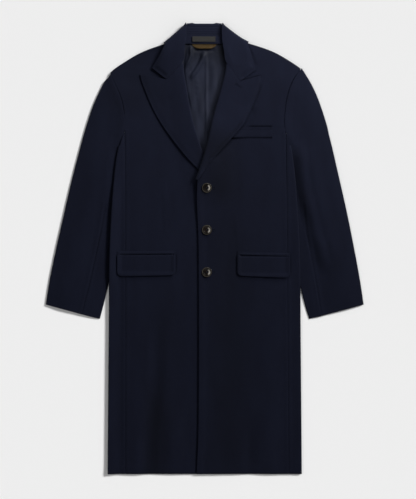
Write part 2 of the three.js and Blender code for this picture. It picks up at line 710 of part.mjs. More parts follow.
// A block between an outer and an inner side whose top may slope
const block = (side, rows, downs, acrosses) => downs.map((v) => acrosses.map((u) => place(
  side.sign * mix(rows.outer, rows.inner, u),
  mix(mix(rows.topOuter, rows.topInner, u), mix(rows.topOuter, rows.topInner, u) - rows.depth, v),
)));

// Chest pocket's welt, on the left front and partly under its lapel
const weltGrid = block(SIDES[1], WELT, steps(2), steps(6));

// Fronts with their turned-back lapels, and the facings that cover the lapels and turn in at the roll
const frontUps = [...ARMHOLE_ROWS, ...LOW_ROLL_UPS, BREAK_UP, ...skirtUps];
const gorgeRow = frontUps.indexOf(GORGE_UP);
const breakRow = frontUps.indexOf(BREAK_UP);
const CHEST_COLUMNS = 9;
const ROLL_STEPS = 5;
const rollPoint = (side, up) => place(side.sign * (along(FRONT_INNER, side.name, up) + ROLL_INSET), up);
const innerEdge = (side, up) => (up > BREAK_UP - 1
  ? rollPoint(side, up)
  : place(side.sign * along(FRONT_INNER, side.name, up), up));
const clothLift = (x, y) => LOFT + foldLift(x, y);
const frontParts = SIDES.map((side) => {
  const chest = frontUps.map((up) => steps(CHEST_COLUMNS).map((t) => (
    between(exactOuter(side, up), innerEdge(side, up), t)
  )));
  const lapelUps = frontUps.slice(gorgeRow, breakRow + 1);
  const notch = place(side.sign * NOTCH[side.name].out, NOTCH[side.name].up);
  const edge = (v) => {
    const up = mix(LAPEL_EDGE[0].up, LAPEL_EDGE.at(-1).up, v);
    return place(side.sign * along(LAPEL_EDGE, side.name, up), up);
  };
  const roll = (v) => {
    const at = v * (lapelUps.length - 1);
    const i = Math.min(Math.floor(at), lapelUps.length - 2);
    return rollPoint(side, mix(lapelUps[i], lapelUps[i + 1], at - i));
  };
  const gorgeShare = GORGE_COLUMNS / LAPEL_COLUMNS;
  const top = (u) => (u < gorgeShare
    ? between(roll(0), notch, u / gorgeShare)
    : between(notch, edge(0), (u - gorgeShare) / (1 - gorgeShare)));
  const makeLapel = () => patch(
    top,
    (u) => between(roll(1), edge(1), u),
    roll,
    edge,
    steps(lapelUps.length - 1),
    steps(LAPEL_COLUMNS),
  );
  const tuck = lapelUps.map((up) => {
    const p = rollPoint(side, up);
    return [1, 0.5, 0].map((share) => place(p.x + side.sign * FACING_TUCK * share, p.y));
  });
  lay(tuck, { cloth: FACING_CLOTH });
  lay(chest, { cloth: COAT_CLOTH, lift: clothLift });
  const chestTop = pile.copy();
  if (side.name === 'left') lay(weltGrid, { cloth: WELT_CLOTH });
  const lapel = lay(makeLapel(), { cloth: COAT_CLOTH });
  const cover = lay(makeLapel(), { cloth: FACING_CLOTH });
  const front = chest.map((row, r) => {
    const j = r - gorgeRow;
    if (r < gorgeRow || r > breakRow) return row;
    const turn = halfTurn(row.at(-1), lapel[j][0], -side.sign, 0, ROLL_STEPS, { inward: -1 });
    return [...row, ...turn, ...facing(lapel[j], -1)];
  });
  const facingGrid = tuck.map((row, j) => [
    ...facing(row, -1),
    ...halfTurn(row.at(-1), cover[j][0], -side.sign, 0, ROLL_STEPS),
    ...cover[j],
  ]);
  add(`front_${side.name}`, wall(front, COAT_CLOTH), NAVY_WOOL);
  add(`facing_${side.name}`, wall(facingGrid, FACING_CLOTH), NAVY_WOOL);
  return { side, chestTop };
});

add('chest_welt', wall(weltGrid, WELT_CLOTH), NAVY_WOOL);

// Side bodies: their upper layers, joined to the under ones round the body's folded side
for (const { side, under, upper } of sideParts) {
  lay(upper, { cloth: COAT_CLOTH, on: underLayers, lift: clothLift });
  const grid = under.map((row, r) => [
    ...facing(row, -1),
    ...halfTurn(row.at(-1), upper[r][0], side.sign, 0, ROLL_STEPS),
    ...upper[r],
  ]);
  add(`side_${side.name}`, wall(grid, COAT_CLOTH), NAVY_WOOL);
}

// Sleeves: a top and an under sleeve, each folded round one edge of the flattened tube
const headShare = (y) => Math.min(Math.max((y - HEAD_LIFT_FROM) / HEAD_LIFT_OVER, 0), 1);
for (const part of sleeveParts) {
  const { side, stations } = part;
  const lift = (x, y) => SLEEVE_LOFT + foldLift(x, y) + HEAD_LIFT * headShare(y);
  lay(part.topUpper, { cloth: COAT_CLOTH, on: underLayers, lift });
  lay(part.underUpper, { cloth: COAT_CLOTH, on: underLayers, lift });
  const top = part.topUpper.map((row, r) => [
    ...facing(part.topLower[r], -1).reverse(),
    ...halfTurn(part.topLower[r][0], row.at(-1), stations[r].ox, stations[r].oy, ROLL_STEPS),
    ...[...row].reverse(),
  ]);
  const under = part.underUpper.map((row, r) => [
    ...facing(part.underLower[r], -1),
    ...halfTurn(part.underLower[r].at(-1), row[0], -stations[r].ox, -stations[r].oy, ROLL_STEPS),
    ...row,
  ]);
  add(`top_sleeve_${side.name}`, wall(top, COAT_CLOTH), NAVY_WOOL);
  add(`under_sleeve_${side.name}`, wall(under, COAT_CLOTH), NAVY_WOOL);
}

// Collar fall: two leaves on the fronts, joined round the shoulders to the part behind the neck
const leafParts = SIDES.map((side, s) => {
  const c = COLLAR[side.name];
  const corner = place(side.sign * c.cornerOut, c.cornerUp);
  const notch = place(side.sign * NOTCH[side.name].out, NOTCH[side.name].up + SEAM * 2);
  const roll = along(FRONT_INNER, side.name, GORGE_UP);
  const gorge = place(side.sign * (roll + ROLL_INSET + GORGE_GAP), GORGE_UP + GORGE_GAP);
  const notchShare = COLLAR_NOTCH_ROW / COLLAR_ROWS;
  const neckOut = along(FRONT_INNER, side.name, NECK_POINT_UP);
  const rollEdge = (u) => {
    const up = mix(COLLAR_TOP_UP - COLLAR_TOP_INSET, GORGE_UP + GORGE_RISE, u);
    const out = up > NECK_POINT_UP
      ? mix(c.topOut, neckOut, (COLLAR_TOP_UP - up) / (COLLAR_TOP_UP - NECK_POINT_UP))
      : along(FRONT_INNER, side.name, up);
    return place(side.sign * (out + GORGE_GAP), up);
  };
  const low = (v) => {
    if (v === 0) return rollEdge(1);
    if (v < notchShare) return between(gorge, notch, v / notchShare);
    return between(notch, corner, (v - notchShare) / (1 - notchShare));
  };
  const outerEdge = (u) => {
    const p = between(collarShoulder(side), corner, u);
    p.x -= side.sign * Math.sin(u * Math.PI) * LEAF_HOLLOW;
    return p;
  };
  const grid = patch(
    (v) => collarFold(side)(v),
    low,
    rollEdge,
    outerEdge,
    steps(LEAF_COLUMNS),
    steps(COLLAR_ROWS),
  );
  return lay(grid, { cloth: COLLAR_CLOTH, on: frontParts[s].chestTop, gap: GORGE_GAP });
});
const turned = (side) => {
  const [a, b] = [collarTop(side), collarShoulder(side)];
  const length = Math.hypot(b.x - a.x, b.y - a.y);
  return { ox: (side.sign * Math.abs(b.y - a.y)) / length, oy: Math.abs(b.x - a.x) / length };
};
const bulge = COLLAR_FOLD_INSET - COLLAR_CLOTH / 2;
const collarRows = steps(COLLAR_ROWS).map((_, row) => {
  const back = facing(collarBack[row], -1);
  const [right, left] = leafParts.map((leaf) => leaf.map((line) => line[row]));
  const [r, l] = SIDES.map(turned);
  return [
    ...[...right].reverse(),
    ...halfTurn(collarBack[row][0], right[0], r.ox, r.oy, ROLL_STEPS + 1, { bulge }).reverse(),
    ...back,
    ...halfTurn(collarBack[row].at(-1), left[0], l.ox, l.oy, ROLL_STEPS + 1, { bulge }),
    ...left,
  ];
});
const lead = LEAF_COLUMNS + 1 + ROLL_STEPS;
const bandTurns = collarBack[0].map((p, c) => halfTurn(p, bandGrid[0][c], 0, 1, ROLL_STEPS + 1));
const bandRows = [
  ...[...bandGrid].reverse(),
  ...steps(ROLL_STEPS - 1).map((_, k) => bandTurns.map((turn) => turn[ROLL_STEPS - 1 - k])),
].map((row) => [...Array(lead).fill(null), ...row]);
add('collar_fall', wall([...bandRows, ...collarRows], COLLAR_CLOTH), NAVY_WOOL);

// Pocket jets and flaps, laid on the fronts
for (const side of SIDES) {
  const p = POCKETS[side.name];
  const jet = block(
    side,
    { ...p, topOuter: p.topOuter + JET_HEIGHT, topInner: p.topInner + JET_HEIGHT, depth: JET_HEIGHT - SEAM },
    steps(1),
    steps(8),
  );
  const beforeJet = pile.copy();
  lay(jet, { cloth: JET_CLOTH });
  add(`jet_${side.name}`, wall(jet, JET_CLOTH), NAVY_WOOL);
  const flap = block(side, p, steps(4), FLAP_ACROSS);
  const bottom = flap.at(-1);
  const before = flap.at(-2);
  for (const [end, near, far] of [[0, 1, 2], [10, 9, 8]]) {
    const toMiddle = Math.sign(bottom[5].x - bottom[end].x);
    bottom[end].y += p.corner;
    bottom[near].x = bottom[end].x + toMiddle * p.corner * ROUND_CUT;
    bottom[near].y += p.corner * ROUND_CUT;
    bottom[far].x = bottom[end].x + toMiddle * p.corner;
    before[near].x = bottom[near].x;
    before[far].x = bottom[far].x;
  }
  lay(flap, { cloth: FLAP_CLOTH, on: beforeJet });
  add(`flap_${side.name}`, wall(flap, FLAP_CLOTH), NAVY_WOOL);
}

// Buttons: turned horn with a raised rim round a dished middle
BUTTON_UPS.forEach((up, i) => {
  const { radius, rim, height, dish, out, facets } = BUTTON;
  const [east, west] = [pile.at(out + radius, up), pile.at(out - radius, up)];
  const [north, south] = [pile.at(out, up + radius), pile.at(out, up - radius)];
  const seat = Math.max((east + west) / 2, (north + south) / 2, pile.at(out, up)) + SEAM;
  const back = [[0, 0], [radius * 0.55, 0], [radius * 0.86, height * 0.22], [radius, height * 0.55]];
  const crest = [[0.35, 0.92], [0.8, 1], [1.4, 0.93]];
  const rimTop = crest.map(([inward, up]) => [radius - rim * inward, height * up]);
  const middle = [[radius - rim * 2.1, height - dish * 0.8], [radius * 0.3, height - dish], [0, height - dish]];
  const profile = [...back, ...rimTop, ...middle].map(([x, y]) => new THREE.Vector2(x, y));
  const geometry = new THREE.LatheGeometry(profile, facets);
  geometry.rotateX(Math.PI / 2);
  const button = add(`button_${i + 1}`, geometry, BROWN_HORN);
  button.position.set(out, up, seat);
  button.rotation.set(Math.atan2(north - south, 2 * radius), -Math.atan2(east - west, 2 * radius), 0);
});

export default coat;
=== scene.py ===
"""A navy wool overcoat, buttoned and laid flat on its back, dressed over its measured model.

Every cloth piece starts as a copy of the model's own piece, so that it keeps its size and place. The copy
is made fine, and folds, pressed edges, seam ridges and wrinkles are laid into it. Buttons, buttonholes
and stitches are modelled on top. Sizes in the classes are millimetres, unless their comment says metres:
+X is the wearer's left, +Y runs up to the collar and +Z is up from the floor.
"""

from __future__ import annotations

import json
import logging
import math
from collections.abc import Sequence
from dataclasses import dataclass
from enum import Enum

import bmesh
import bpy
import numpy as np
from mathutils import Matrix, Vector
from mathutils.bvhtree import BVHTree

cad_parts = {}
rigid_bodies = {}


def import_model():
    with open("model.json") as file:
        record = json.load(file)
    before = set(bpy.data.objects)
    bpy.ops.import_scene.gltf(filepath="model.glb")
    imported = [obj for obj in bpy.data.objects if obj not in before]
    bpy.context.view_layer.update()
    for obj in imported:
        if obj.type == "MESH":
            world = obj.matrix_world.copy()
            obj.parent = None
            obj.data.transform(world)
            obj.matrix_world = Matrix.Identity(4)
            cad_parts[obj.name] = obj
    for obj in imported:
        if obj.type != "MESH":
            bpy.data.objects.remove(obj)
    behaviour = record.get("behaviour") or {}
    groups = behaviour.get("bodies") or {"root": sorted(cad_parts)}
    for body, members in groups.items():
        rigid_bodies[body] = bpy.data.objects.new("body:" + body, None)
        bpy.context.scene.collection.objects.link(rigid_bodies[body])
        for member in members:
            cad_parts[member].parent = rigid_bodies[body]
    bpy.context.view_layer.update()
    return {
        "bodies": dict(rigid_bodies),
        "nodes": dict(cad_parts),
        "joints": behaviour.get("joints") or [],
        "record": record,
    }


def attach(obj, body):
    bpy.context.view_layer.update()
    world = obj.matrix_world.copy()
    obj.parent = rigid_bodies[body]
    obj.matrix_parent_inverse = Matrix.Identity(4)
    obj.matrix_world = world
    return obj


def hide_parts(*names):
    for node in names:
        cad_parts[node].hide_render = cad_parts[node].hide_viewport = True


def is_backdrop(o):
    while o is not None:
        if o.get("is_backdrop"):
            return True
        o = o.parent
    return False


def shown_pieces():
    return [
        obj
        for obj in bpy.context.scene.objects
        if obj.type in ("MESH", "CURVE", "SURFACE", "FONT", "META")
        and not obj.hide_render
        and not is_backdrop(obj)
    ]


LOG = logging.getLogger("overcoat")
MM = 0.001
BODY = "root"
SIDES = ("right", "left")
Point = tuple[float, float]
Spot = tuple[float, float, float]
Colour = tuple[float, float, float]
BLACK: Colour = (0.0, 0.0, 0.0)
WHITE: Colour = (1.0, 1.0, 1.0)


class Slot(Enum):
    """The record's material slots."""

    WOOL = "navy_wool"
    SATIN = "navy_satin"
    LABEL = "charcoal_tape"
    TAPE = "bronze_tape"
    HORN = "brown_horn"


class Hold(Enum):
    """How a sheet of cloth is held."""

    LAID = "laid"
    FOLDED = "folded"


class Value:
    """A shader socket that takes part in Python arithmetic."""

    def __init__(self, graph: Graph, socket: bpy.types.NodeSocket) -> None:
        """Keep the graph and the output socket."""
        self.graph = graph
        self.socket = socket

    def math(self, operation: str, *others: Value | float, clamp: bool = False) -> Value:
        """Add a Math node.

        Args:
            operation: the Math node's operation.
            others: the second and third operand.
            clamp: whether the result is kept from 0 to 1.

        Returns:
            The node's result.
        """
        settings = {"operation": operation, "use_clamp": clamp}
        node = self.graph.node("ShaderNodeMath", settings, dict(enumerate((self, *others))))
        return Value(self.graph, node.outputs[0])

    def __add__(self, other: Value | float) -> Value:
        """Add."""
        return self.math("ADD", other)

    def __sub__(self, other: Value | float) -> Value:
        """Subtract."""
        return self.math("SUBTRACT", other)

    def __rsub__(self, other: float) -> Value:
        """Subtract this from a number."""
        node = self.graph.node("ShaderNodeMath", {"operation": "SUBTRACT"}, {0: other, 1: self})
        return Value(self.graph, node.outputs[0])

    def __mul__(self, other: Value | float) -> Value:
        """Multiply."""
        return self.math("MULTIPLY", other)

    def __truediv__(self, other: Value | float) -> Value:
        """Divide."""
        return self.math("DIVIDE", other)

    def __pow__(self, other: Value | float) -> Value:
        """Raise to a power."""
        return self.math("POWER", other)

    def step(self, low: float, high: float) -> Value:
        """Rise smoothly from 0 at low to 1 at high."""
        settings = {"interpolation_type": "SMOOTHSTEP"}
        inputs = {"Value": self, "From Min": low, "From Max": high}
        node = self.graph.node("ShaderNodeMapRange", settings, inputs)
        return Value(self.graph, node.outputs["Result"])

    def sine(self) -> Value:
        """Take the sine."""
        return self.math("SINE")


class Graph:
    """A material's node tree, with one method that adds any node."""

    def __init__(self, name: str) -> None:
        """Create the material and its Principled shader."""
        self.material = bpy.data.materials.new(name)
        self.material.use_nodes = True
        self.tree = self.material.node_tree
        self.shader = self.tree.nodes["Principled BSDF"]
        self.place = Value(self, self.node("ShaderNodeTexCoord").outputs["Object"])

    def node(
        self,
        kind: str,
        settings: dict[str, object] | None = None,
        inputs: dict[str | int, object] | None = None,
    ) -> bpy.types.Node:
        """Add a node.

        Args:
            kind: the node's type.
            settings: its properties, set first.
            inputs: values or links of its sockets, by name or number.

        Returns:
            The new node.
        """
        made = self.tree.nodes.new(kind)
        for key, value in (settings or {}).items():
            setattr(made, key, value)
        for key, value in (inputs or {}).items():
            self.feed(made.inputs[key], value)
        return made

    def feed(self, socket: bpy.types.NodeSocket, value: object) -> None:
        """Link a value to a socket, or set the socket to a number or colour."""
        if isinstance(value, Value):
            self.tree.links.new(value.socket, socket)
        else:
            socket.default_value = value

    def noise(self, scale: float, detail: float = 2.0, stretch: Sequence[float] = (1, 1, 1)) -> Value:
        """Add noise on Object coordinates.

        Args:
            scale: how many features a metre holds.
            detail: octaves.
            stretch: how much the pattern is squeezed along each axis.

        Returns:
            The noise, from 0 to 1.
        """
        place = self.node("ShaderNodeMapping", {}, {"Vector": self.place, "Scale": tuple(stretch)})
        inputs = {"Vector": Value(self, place.outputs[0]), "Scale": scale, "Detail": detail}
        return Value(self, self.node("ShaderNodeTexNoise", {}, inputs).outputs["Fac"])

    def axis(self, name: str) -> Value:
        """Give one coordinate of the place, in metres."""
        parts = self.node("ShaderNodeSeparateXYZ", {}, {0: self.place})
        return Value(self, parts.outputs[name])

    def mix(self, share: Value | float, first: object, second: object) -> Value:
        """Mix two colours."""
        node = self.node("ShaderNodeMix", {"data_type": "RGBA"}, {0: share, 6: first, 7: second})
        return Value(self, node.outputs[2])

    def bump(self, height: Value, distance: float, strength: float = 1.0) -> None:
        """Feed a height in metres times distance to the shader's normal."""
        inputs = {"Height": height, "Distance": distance, "Strength": strength}
        node = self.node("ShaderNodeBump", {}, inputs)
        self.feed(self.shader.inputs["Normal"], Value(self, node.outputs["Normal"]))

    def set(self, **values: object) -> None:
        """Set or link the shader's sockets, named with underscores for spaces."""
        for name, value in values.items():
            self.feed(self.shader.inputs[name.replace("_", " ")], value)


def rgba(colour: Colour) -> tuple[float, float, float, float]:
    """Give a colour an alpha of 1."""
    return (*colour, 1.0)


@dataclass(frozen=True)
class PaintedShade:
    """A patch of painted shade that darkens the wool's colour where folds shade the cloth: its middle and
    half its size in metres, and how much darker.
    """

    x: float
    y: float
    half_x: float
    half_y: float
    share: float

    def on(self, graph: Graph) -> Value:
        """Give the painted shade, which fades out towards the patch's border."""
        across = (graph.axis("X") - self.x).math("ABSOLUTE").step(self.half_x, 0.0)
        along = (graph.axis("Y") - self.y).math("ABSOLUTE").step(self.half_y, self.half_y * 0.4)
        return across * along * self.share


@dataclass(frozen=True)
class WoolFinish:
    """Milled navy wool with a short nap that lies down the coat, and patches of painted shade in its colour.
    """

    name: str = "navy_wool"
    deep: Colour = (0.00197, 0.0026, 0.0076)
    light: Colour = (0.0029, 0.0039, 0.0103)
    fibre: Colour = (0.0058, 0.0078, 0.0168)
    roughness: float = 0.94
    specular: float = 0.09
    sheen: float = 0.030
    sheen_tint: Colour = (0.55, 0.62, 0.80)
    nap: float = 0.00016
    clouds: float = 30
    flecks: float = 150
    fibres: float = 950
    twill: float = 2400
    twill_slant: float = 1.7
    # painted shade: patches where the colour darkens, beside the skirt's folds, the lapel and the shoulder
    painted_shades: tuple[PaintedShade, ...] = (
        PaintedShade(0.062, -0.25, 0.105, 0.52, 0.26),
        PaintedShade(0.040, 0.215, 0.085, 0.12, 0.36),
        PaintedShade(-0.128, -0.56, 0.050, 0.24, 0.34),
        PaintedShade(-0.100, -0.30, 0.080, 0.26, 0.12),
        PaintedShade(-0.190, 0.440, 0.110, 0.12, 0.16),
    )

    def build(self) -> bpy.types.Material:
        """Make the material."""
        graph = Graph(self.name)
        clouds = graph.noise(self.clouds, 2.0, (1.0, 0.3, 1.0))
        flecks = graph.noise(self.flecks, 2.0, (1.0, 0.5, 1.0))
        mottle = clouds * 0.6 + flecks * 0.4
        fibres = graph.noise(self.fibres, 3.0, (1.0, 0.42, 1.0))
        cloud = graph.mix(mottle.step(0.2, 0.8), rgba(self.deep), rgba(self.light))
        colour = graph.mix(fibres.step(0.56, 0.82) * 0.4, cloud, rgba(self.fibre))
        # painted shade: the colour is mixed towards black in the listed patches
        dark = sum((place.on(graph) for place in self.painted_shades[1:]), self.painted_shades[0].on(graph))
        twill = ((graph.axis("X") + graph.axis("Y") * self.twill_slant) * self.twill).sine()
        graph.set(
            Base_Color=graph.mix(dark, colour, rgba(BLACK)),
            Roughness=fibres * 0.12 + (self.roughness - 0.06),
            Specular_IOR_Level=self.specular,
            Sheen_Weight=self.sheen,
            Sheen_Roughness=0.55,
            Sheen_Tint=rgba(self.sheen_tint),
        )
        graph.bump(fibres + twill * 0.10 + mottle * 0.3, self.nap)
        return graph.material


@dataclass(frozen=True)
class SatinFinish:
    """Blue-grey satin lining with a fine weave and a soft shine, and painted shade that darkens it towards
    the neck.
    """

    name: str = "navy_satin"
    deep: Colour = (0.0064, 0.0077, 0.0142)
    light: Colour = (0.0100, 0.0117, 0.0208)
    roughness: float = 0.52
    specular: float = 0.06
    weave: float = 0.00005
    weft: float = 7000
    warp: float = 5200
    slubs: float = 700
    # painted shade: the heights in metres over which the lining's colour darkens towards the neck, where the
    # collar shades it
    shade: Point = (0.455, 0.520)  # how far up the lining's neck darkens, in metres

    def build(self) -> bpy.types.Material:
        """Make the material."""
        graph = Graph(self.name)
        cloud = graph.noise(60, 2.0, (1.0, 0.35, 1.0))
        threads = (graph.axis("Y") * self.weft).sine() * 0.5 + (graph.axis("X") * self.warp).sine() * 0.5
        slub = graph.noise(self.slubs, 2.0, (0.25, 1.0, 1.0))
        cloth = graph.mix(cloud.step(0.3, 0.7), rgba(self.deep), rgba(self.light))
        # painted shade: a colour under half as bright as the lining's deepest, mixed in towards the neck
        wear_and_shade = rgba(tuple(c * 0.45 for c in self.deep))
        graph.set(
            Base_Color=graph.mix(graph.axis("Y").step(*self.shade) * 0.8, cloth, wear_and_shade),
            Roughness=slub * 0.12 + self.roughness,
            Specular_IOR_Level=self.specular,
        )
        graph.bump(threads * 0.5 + slub, self.weave)
        return graph.material


@dataclass(frozen=True)
class TapeFinish:
    """A woven tape: ribs of weft across the warp, a given number of millimetres apart."""

    name: str
    deep: Colour
    light: Colour
    rib: float
    roughness: float
    slant: float = 0.0
    specular: float = 0.08
    weave: float = 0.00016

    def build(self) -> bpy.types.Material:
        """Make the material."""
        graph = Graph(self.name)
        across = graph.axis("X") + graph.axis("Y") * self.slant
        ribs = (across * (math.tau / (self.rib * MM))).sine() * 0.5 + 0.5
        warp = (graph.axis("Y") * (math.tau / (self.rib * 0.8 * MM))).sine() * 0.5 + 0.5
        weave = ribs * 0.65 + warp * 0.35
        # an uneven tone from wear alone; no shade is painted on the tape
        wear_and_shade = graph.noise(220, 3.0)
        colour = graph.mix(weave * 0.7 + wear_and_shade * 0.3, rgba(self.deep), rgba(self.light))
        graph.set(
            Base_Color=colour,
            Roughness=wear_and_shade * 0.15 + (self.roughness - 0.07),
            Specular_IOR_Level=self.specular,
        )
        graph.bump(weave, self.weave)
        return graph.material


LABEL_FINISH = TapeFinish(
    name="charcoal_tape",
    deep=(0.0062, 0.0062, 0.0062),
    light=(0.0205, 0.0200, 0.0196),
    rib=0.55,
    roughness=0.7,
)
HANGER_FINISH = TapeFinish(
    name="bronze_tape",
    deep=(0.0130, 0.0072, 0.0009),
    light=(0.0330, 0.0182, 0.0028),
    rib=0.8,
    roughness=0.55,
    slant=0.9,
)


@dataclass(frozen=True)
class HornFinish:
    """Polished horn: dark in the dish, with a painted highlight to the right of its middle, and smoky on the
    rim.
    """

    name: str = "brown_horn"
    dark: Colour = (0.0016, 0.0012, 0.0010)
    brown: Colour = (0.0056, 0.0034, 0.0021)
    pale: Colour = (0.027, 0.024, 0.019)
    # painted highlight: the pale colour of the glint in the dish
    painted_glint: Colour = (0.24, 0.225, 0.20)
    spacing: float = 109.5
    lowest: float = -61.0
    centre: float = 5.5
    rim: Point = (9.8, 10.8)
    # painted highlight: the radii in millimetres where the glint brightens, and where it fades
    glint_start: Point = (4.0, 6.0)
    glint_end: Point = (8.0, 9.4)
    specular: float = 0.16
    polish: float = 0.06

    def build(self) -> bpy.types.Material:
        """Make the material, whose rim is found by the distance from the nearest button's middle."""
        graph = Graph(self.name)
        clouds = graph.noise(190, 4.0, (1.0, 0.45, 1.0))
        streaks = graph.noise(520, 3.0, (1.0, 0.2, 1.0))
        turn = (graph.axis("Y") / MM - (self.lowest - self.spacing / 2)) / self.spacing
        up = (turn.math("FRACT") - 0.5) * self.spacing
        out = graph.axis("X") / MM - self.centre
        radius = (up * up + out * out) ** 0.5
        on_rim = radius.step(*self.rim)
        body = graph.mix(clouds.step(0.35, 0.65), rgba(self.dark), rgba(self.brown))
        smoke = graph.mix(streaks.step(0.3, 0.75) * 0.45, rgba(self.pale), rgba(self.brown))
        # painted highlight: a pale crescent right of the middle, where the light glints in the dish, mixed
        # into the dish's colour
        right = (out / (radius + 0.1)).step(0.25, 0.85)
        glint_mask = radius.step(*self.glint_start) * (1.0 - radius.step(*self.glint_end)) * right
        dish = graph.mix(glint_mask * (streaks.step(0.2, 0.6) * 0.5 + 0.5), body, rgba(self.painted_glint))
        graph.set(
            Base_Color=graph.mix(on_rim, dish, smoke),
            Roughness=streaks * 0.08 + 0.20,
            Specular_IOR_Level=self.specular,
            Coat_Weight=self.polish,
            Coat_Roughness=0.10,
        )
        graph.bump(streaks, 0.00003)
        return graph.material


@dataclass(frozen=True)
class FloorFinish:
    """A plain pale floor."""

    name: str = "pale_floor"
    colour: Colour = (0.86, 0.86, 0.86)

    def build(self) -> bpy.types.Material:
        """Make the material."""
        graph = Graph(self.name)
        cloud = graph.noise(3, 2.0) * 0.01
        near = rgba(tuple(c * 0.995 for c in self.colour))
        paper = graph.mix(cloud, rgba(self.colour), near)
        graph.set(Base_Color=paper, Roughness=0.9, Specular_IOR_Level=0.1)
        return graph.material


@dataclass(frozen=True)
class Fold:
    """A soft ridge, or a trough where lift is negative, along a line of points.

    Attributes:
        path: the line's points.
        width: how far it reaches to each side of the line.
        lift: its height.
        fade: how far from each end of the line it takes to reach that height.
    """

    path: tuple[Point, ...]
    width: float
    lift: float
    fade: float = 45.0

    def at(self, x: np.ndarray, y: np.ndarray) -> np.ndarray:
        """Give the lift at places, in millimetres."""
        away, run, total = nearest(self.path, x, y)
        across = np.cos(np.clip(away / self.width, 0, 1) * np.pi / 2) ** 2
        ends = np.clip(np.minimum(run, total - run) / self.fade + 0.02, 0, 1)
        return self.lift * across * ends * ends * (3 - 2 * ends)


@dataclass(frozen=True)
class SeamRidge:
    """The seam allowance pressed open under the cloth: a low ridge beside a line, on one or both sides."""

    path: tuple[Point, ...]
    offset: float = 4.6
    width: float = 4.2
    lift: float = 0.5

    def at(self, x: np.ndarray, y: np.ndarray) -> np.ndarray:
        """Give the lift at places, in millimetres."""
        away, _, _ = nearest(self.path, x, y)
        return self.lift * np.exp(-(((away - self.offset) / self.width) ** 2))


@dataclass(frozen=True)
class Undulation:
    """A slow unevenness of laid cloth, the same each time."""

    wave: float = 95.0
    lift: float = 0.9
    seed: float = 3.1
    stretch: float = 0.45

    def at(self, x: np.ndarray, y: np.ndarray) -> np.ndarray:
        """Give the lift at places, in millimetres, from a smooth noise that is never negative."""
        a, b = x / self.wave, y * self.stretch / self.wave
        value = np.zeros_like(x)
        for turn in range(1, 5):
            angle = self.seed * turn
            across = a * math.cos(angle) + b * math.sin(angle)
            along = b * math.cos(angle) - a * math.sin(angle)
            broad = np.sin(across * (1.1 + 0.45 * turn) + angle)
            value += broad * np.sin(along * (0.8 + 0.3 * turn) - angle)
        return self.lift * (0.5 + value / 8)


Relief = Fold | SeamRidge | Undulation


def nearest(path: Sequence[Point], x: np.ndarray, y: np.ndarray) -> tuple[np.ndarray, np.ndarray, float]:
    """Find how far places lie from a line of points.

    Args:
        path: the line's points.
        x: places across.
        y: places along.

    Returns:
        The distance to the line, how far along the line the nearest point is, and the line's length.
    """
    away = np.full(x.shape, np.inf)
    run = np.zeros(x.shape)
    total = 0.0
    for (ax, ay), (bx, by) in zip(path, path[1:]):
        dx, dy = bx - ax, by - ay
        length = math.hypot(dx, dy)
        share = np.clip(((x - ax) * dx + (y - ay) * dy) / (length * length), 0, 1)
        gap = np.hypot(x - ax - share * dx, y - ay - share * dy)
        closer = gap < away
        away = np.where(closer, gap, away)
        run = np.where(closer, total + share * length, run)
        total += length
    return away, run, total


# The large forms that all the layers of the coat share, each from sizes read on the laid coat
SLEEVE_FULLNESS = (
    Fold(((-246, 300), (-292, 150), (-338, -20), (-352, -200)), 84, 4.0, 90),
    Fold(((262, 330), (322, 160), (356, 0), (366, -200)), 76, 3.6, 90),
)
SKIRT_FULLNESS = (
    Fold(((-120, 120), (-130, -200), (-126, -620)), 105, 2.6, 120),
    Fold(((110, 110), (122, -200), (118, -620)), 105, 2.4, 120),
)
RIGHT_SKIRT_FOLD = (
    Fold(((-120, -150), (-128, -360), (-146, -500), (-148, -640)), 30, -4.4, 130),
    Fold(((-80, -360), (-78, -640)), 34, 1.6, 120),
    Fold(((-176, -350), (-180, -640)), 34, 1.4, 120),
)
LEFT_SKIRT_FOLD = (
    Fold(((118, -400), (118, -640)), 24, -2.6, 110),
    Fold(((74, -420), (72, -640)), 32, 1.3, 110),
    Fold(((164, -400), (166, -640)), 34, 1.4, 110),
)
DRAPE: tuple[Relief, ...] = (
    *SLEEVE_FULLNESS,
    *SKIRT_FULLNESS,
    *RIGHT_SKIRT_FOLD,
    *LEFT_SKIRT_FOLD,
    Undulation(),
)

# The neck's rolls, from the collar down to where each lapel's roll ends
ROLLS: tuple[tuple[Point, ...], ...] = (
    ((-50, 530), (-55, 475), (-51, 440), (-43, 392), (-33, 342), (-20, 296), (-7, 257), (4, 220)),
    ((48, 530), (55, 475), (49, 440), (37, 392), (22, 342), (12, 296), (2, 257), (-6, 232)),
)
ROLLED: tuple[Relief, ...] = (Fold(ROLLS[0], 60, 4.0, 90), Fold(ROLLS[1], 70, 7.0, 110))

# The side bodies' edges, and how the cloth fills out beside them, under the outer ends of the pockets too
LEFT_EDGE: tuple[Point, ...] = (
    (224, 330), (231, 218), (237, 152), (243.5, 50), (247, -55), (250, -263), (253, -660),
)
EDGES: tuple[tuple[Point, ...], ...] = (tuple((-x, y) for x, y in LEFT_EDGE), LEFT_EDGE)
FULL: tuple[tuple[Relief, ...], ...] = (
    (Fold(EDGES[0], 34, 6.0, 60), Fold(((-236, 190), (-250, -130)), 26, 5.5, 90)),
    (Fold(EDGES[1], 34, 2.4, 60),),
)

# The line along which the left sleeve swells, where it bends
BENT: tuple[Point, ...] = ((245, 290), (250, 205), (260, 140), (275, 88), (286, 36), (300, -4), (314, -70))

# The chest sinks beside the left lapel, under the welt too
CHEST_HOLLOW = Fold(((128, 372), (110, 329), (80, 293), (49, 259), (22, 228)), 22, -3.6, 24)


def add(name: str, data: bpy.types.ID) -> bpy.types.Object:
    """Add an object with the given data to the scene."""
    made = bpy.data.objects.new(name, data)
    bpy.context.scene.collection.objects.link(made)
    return made


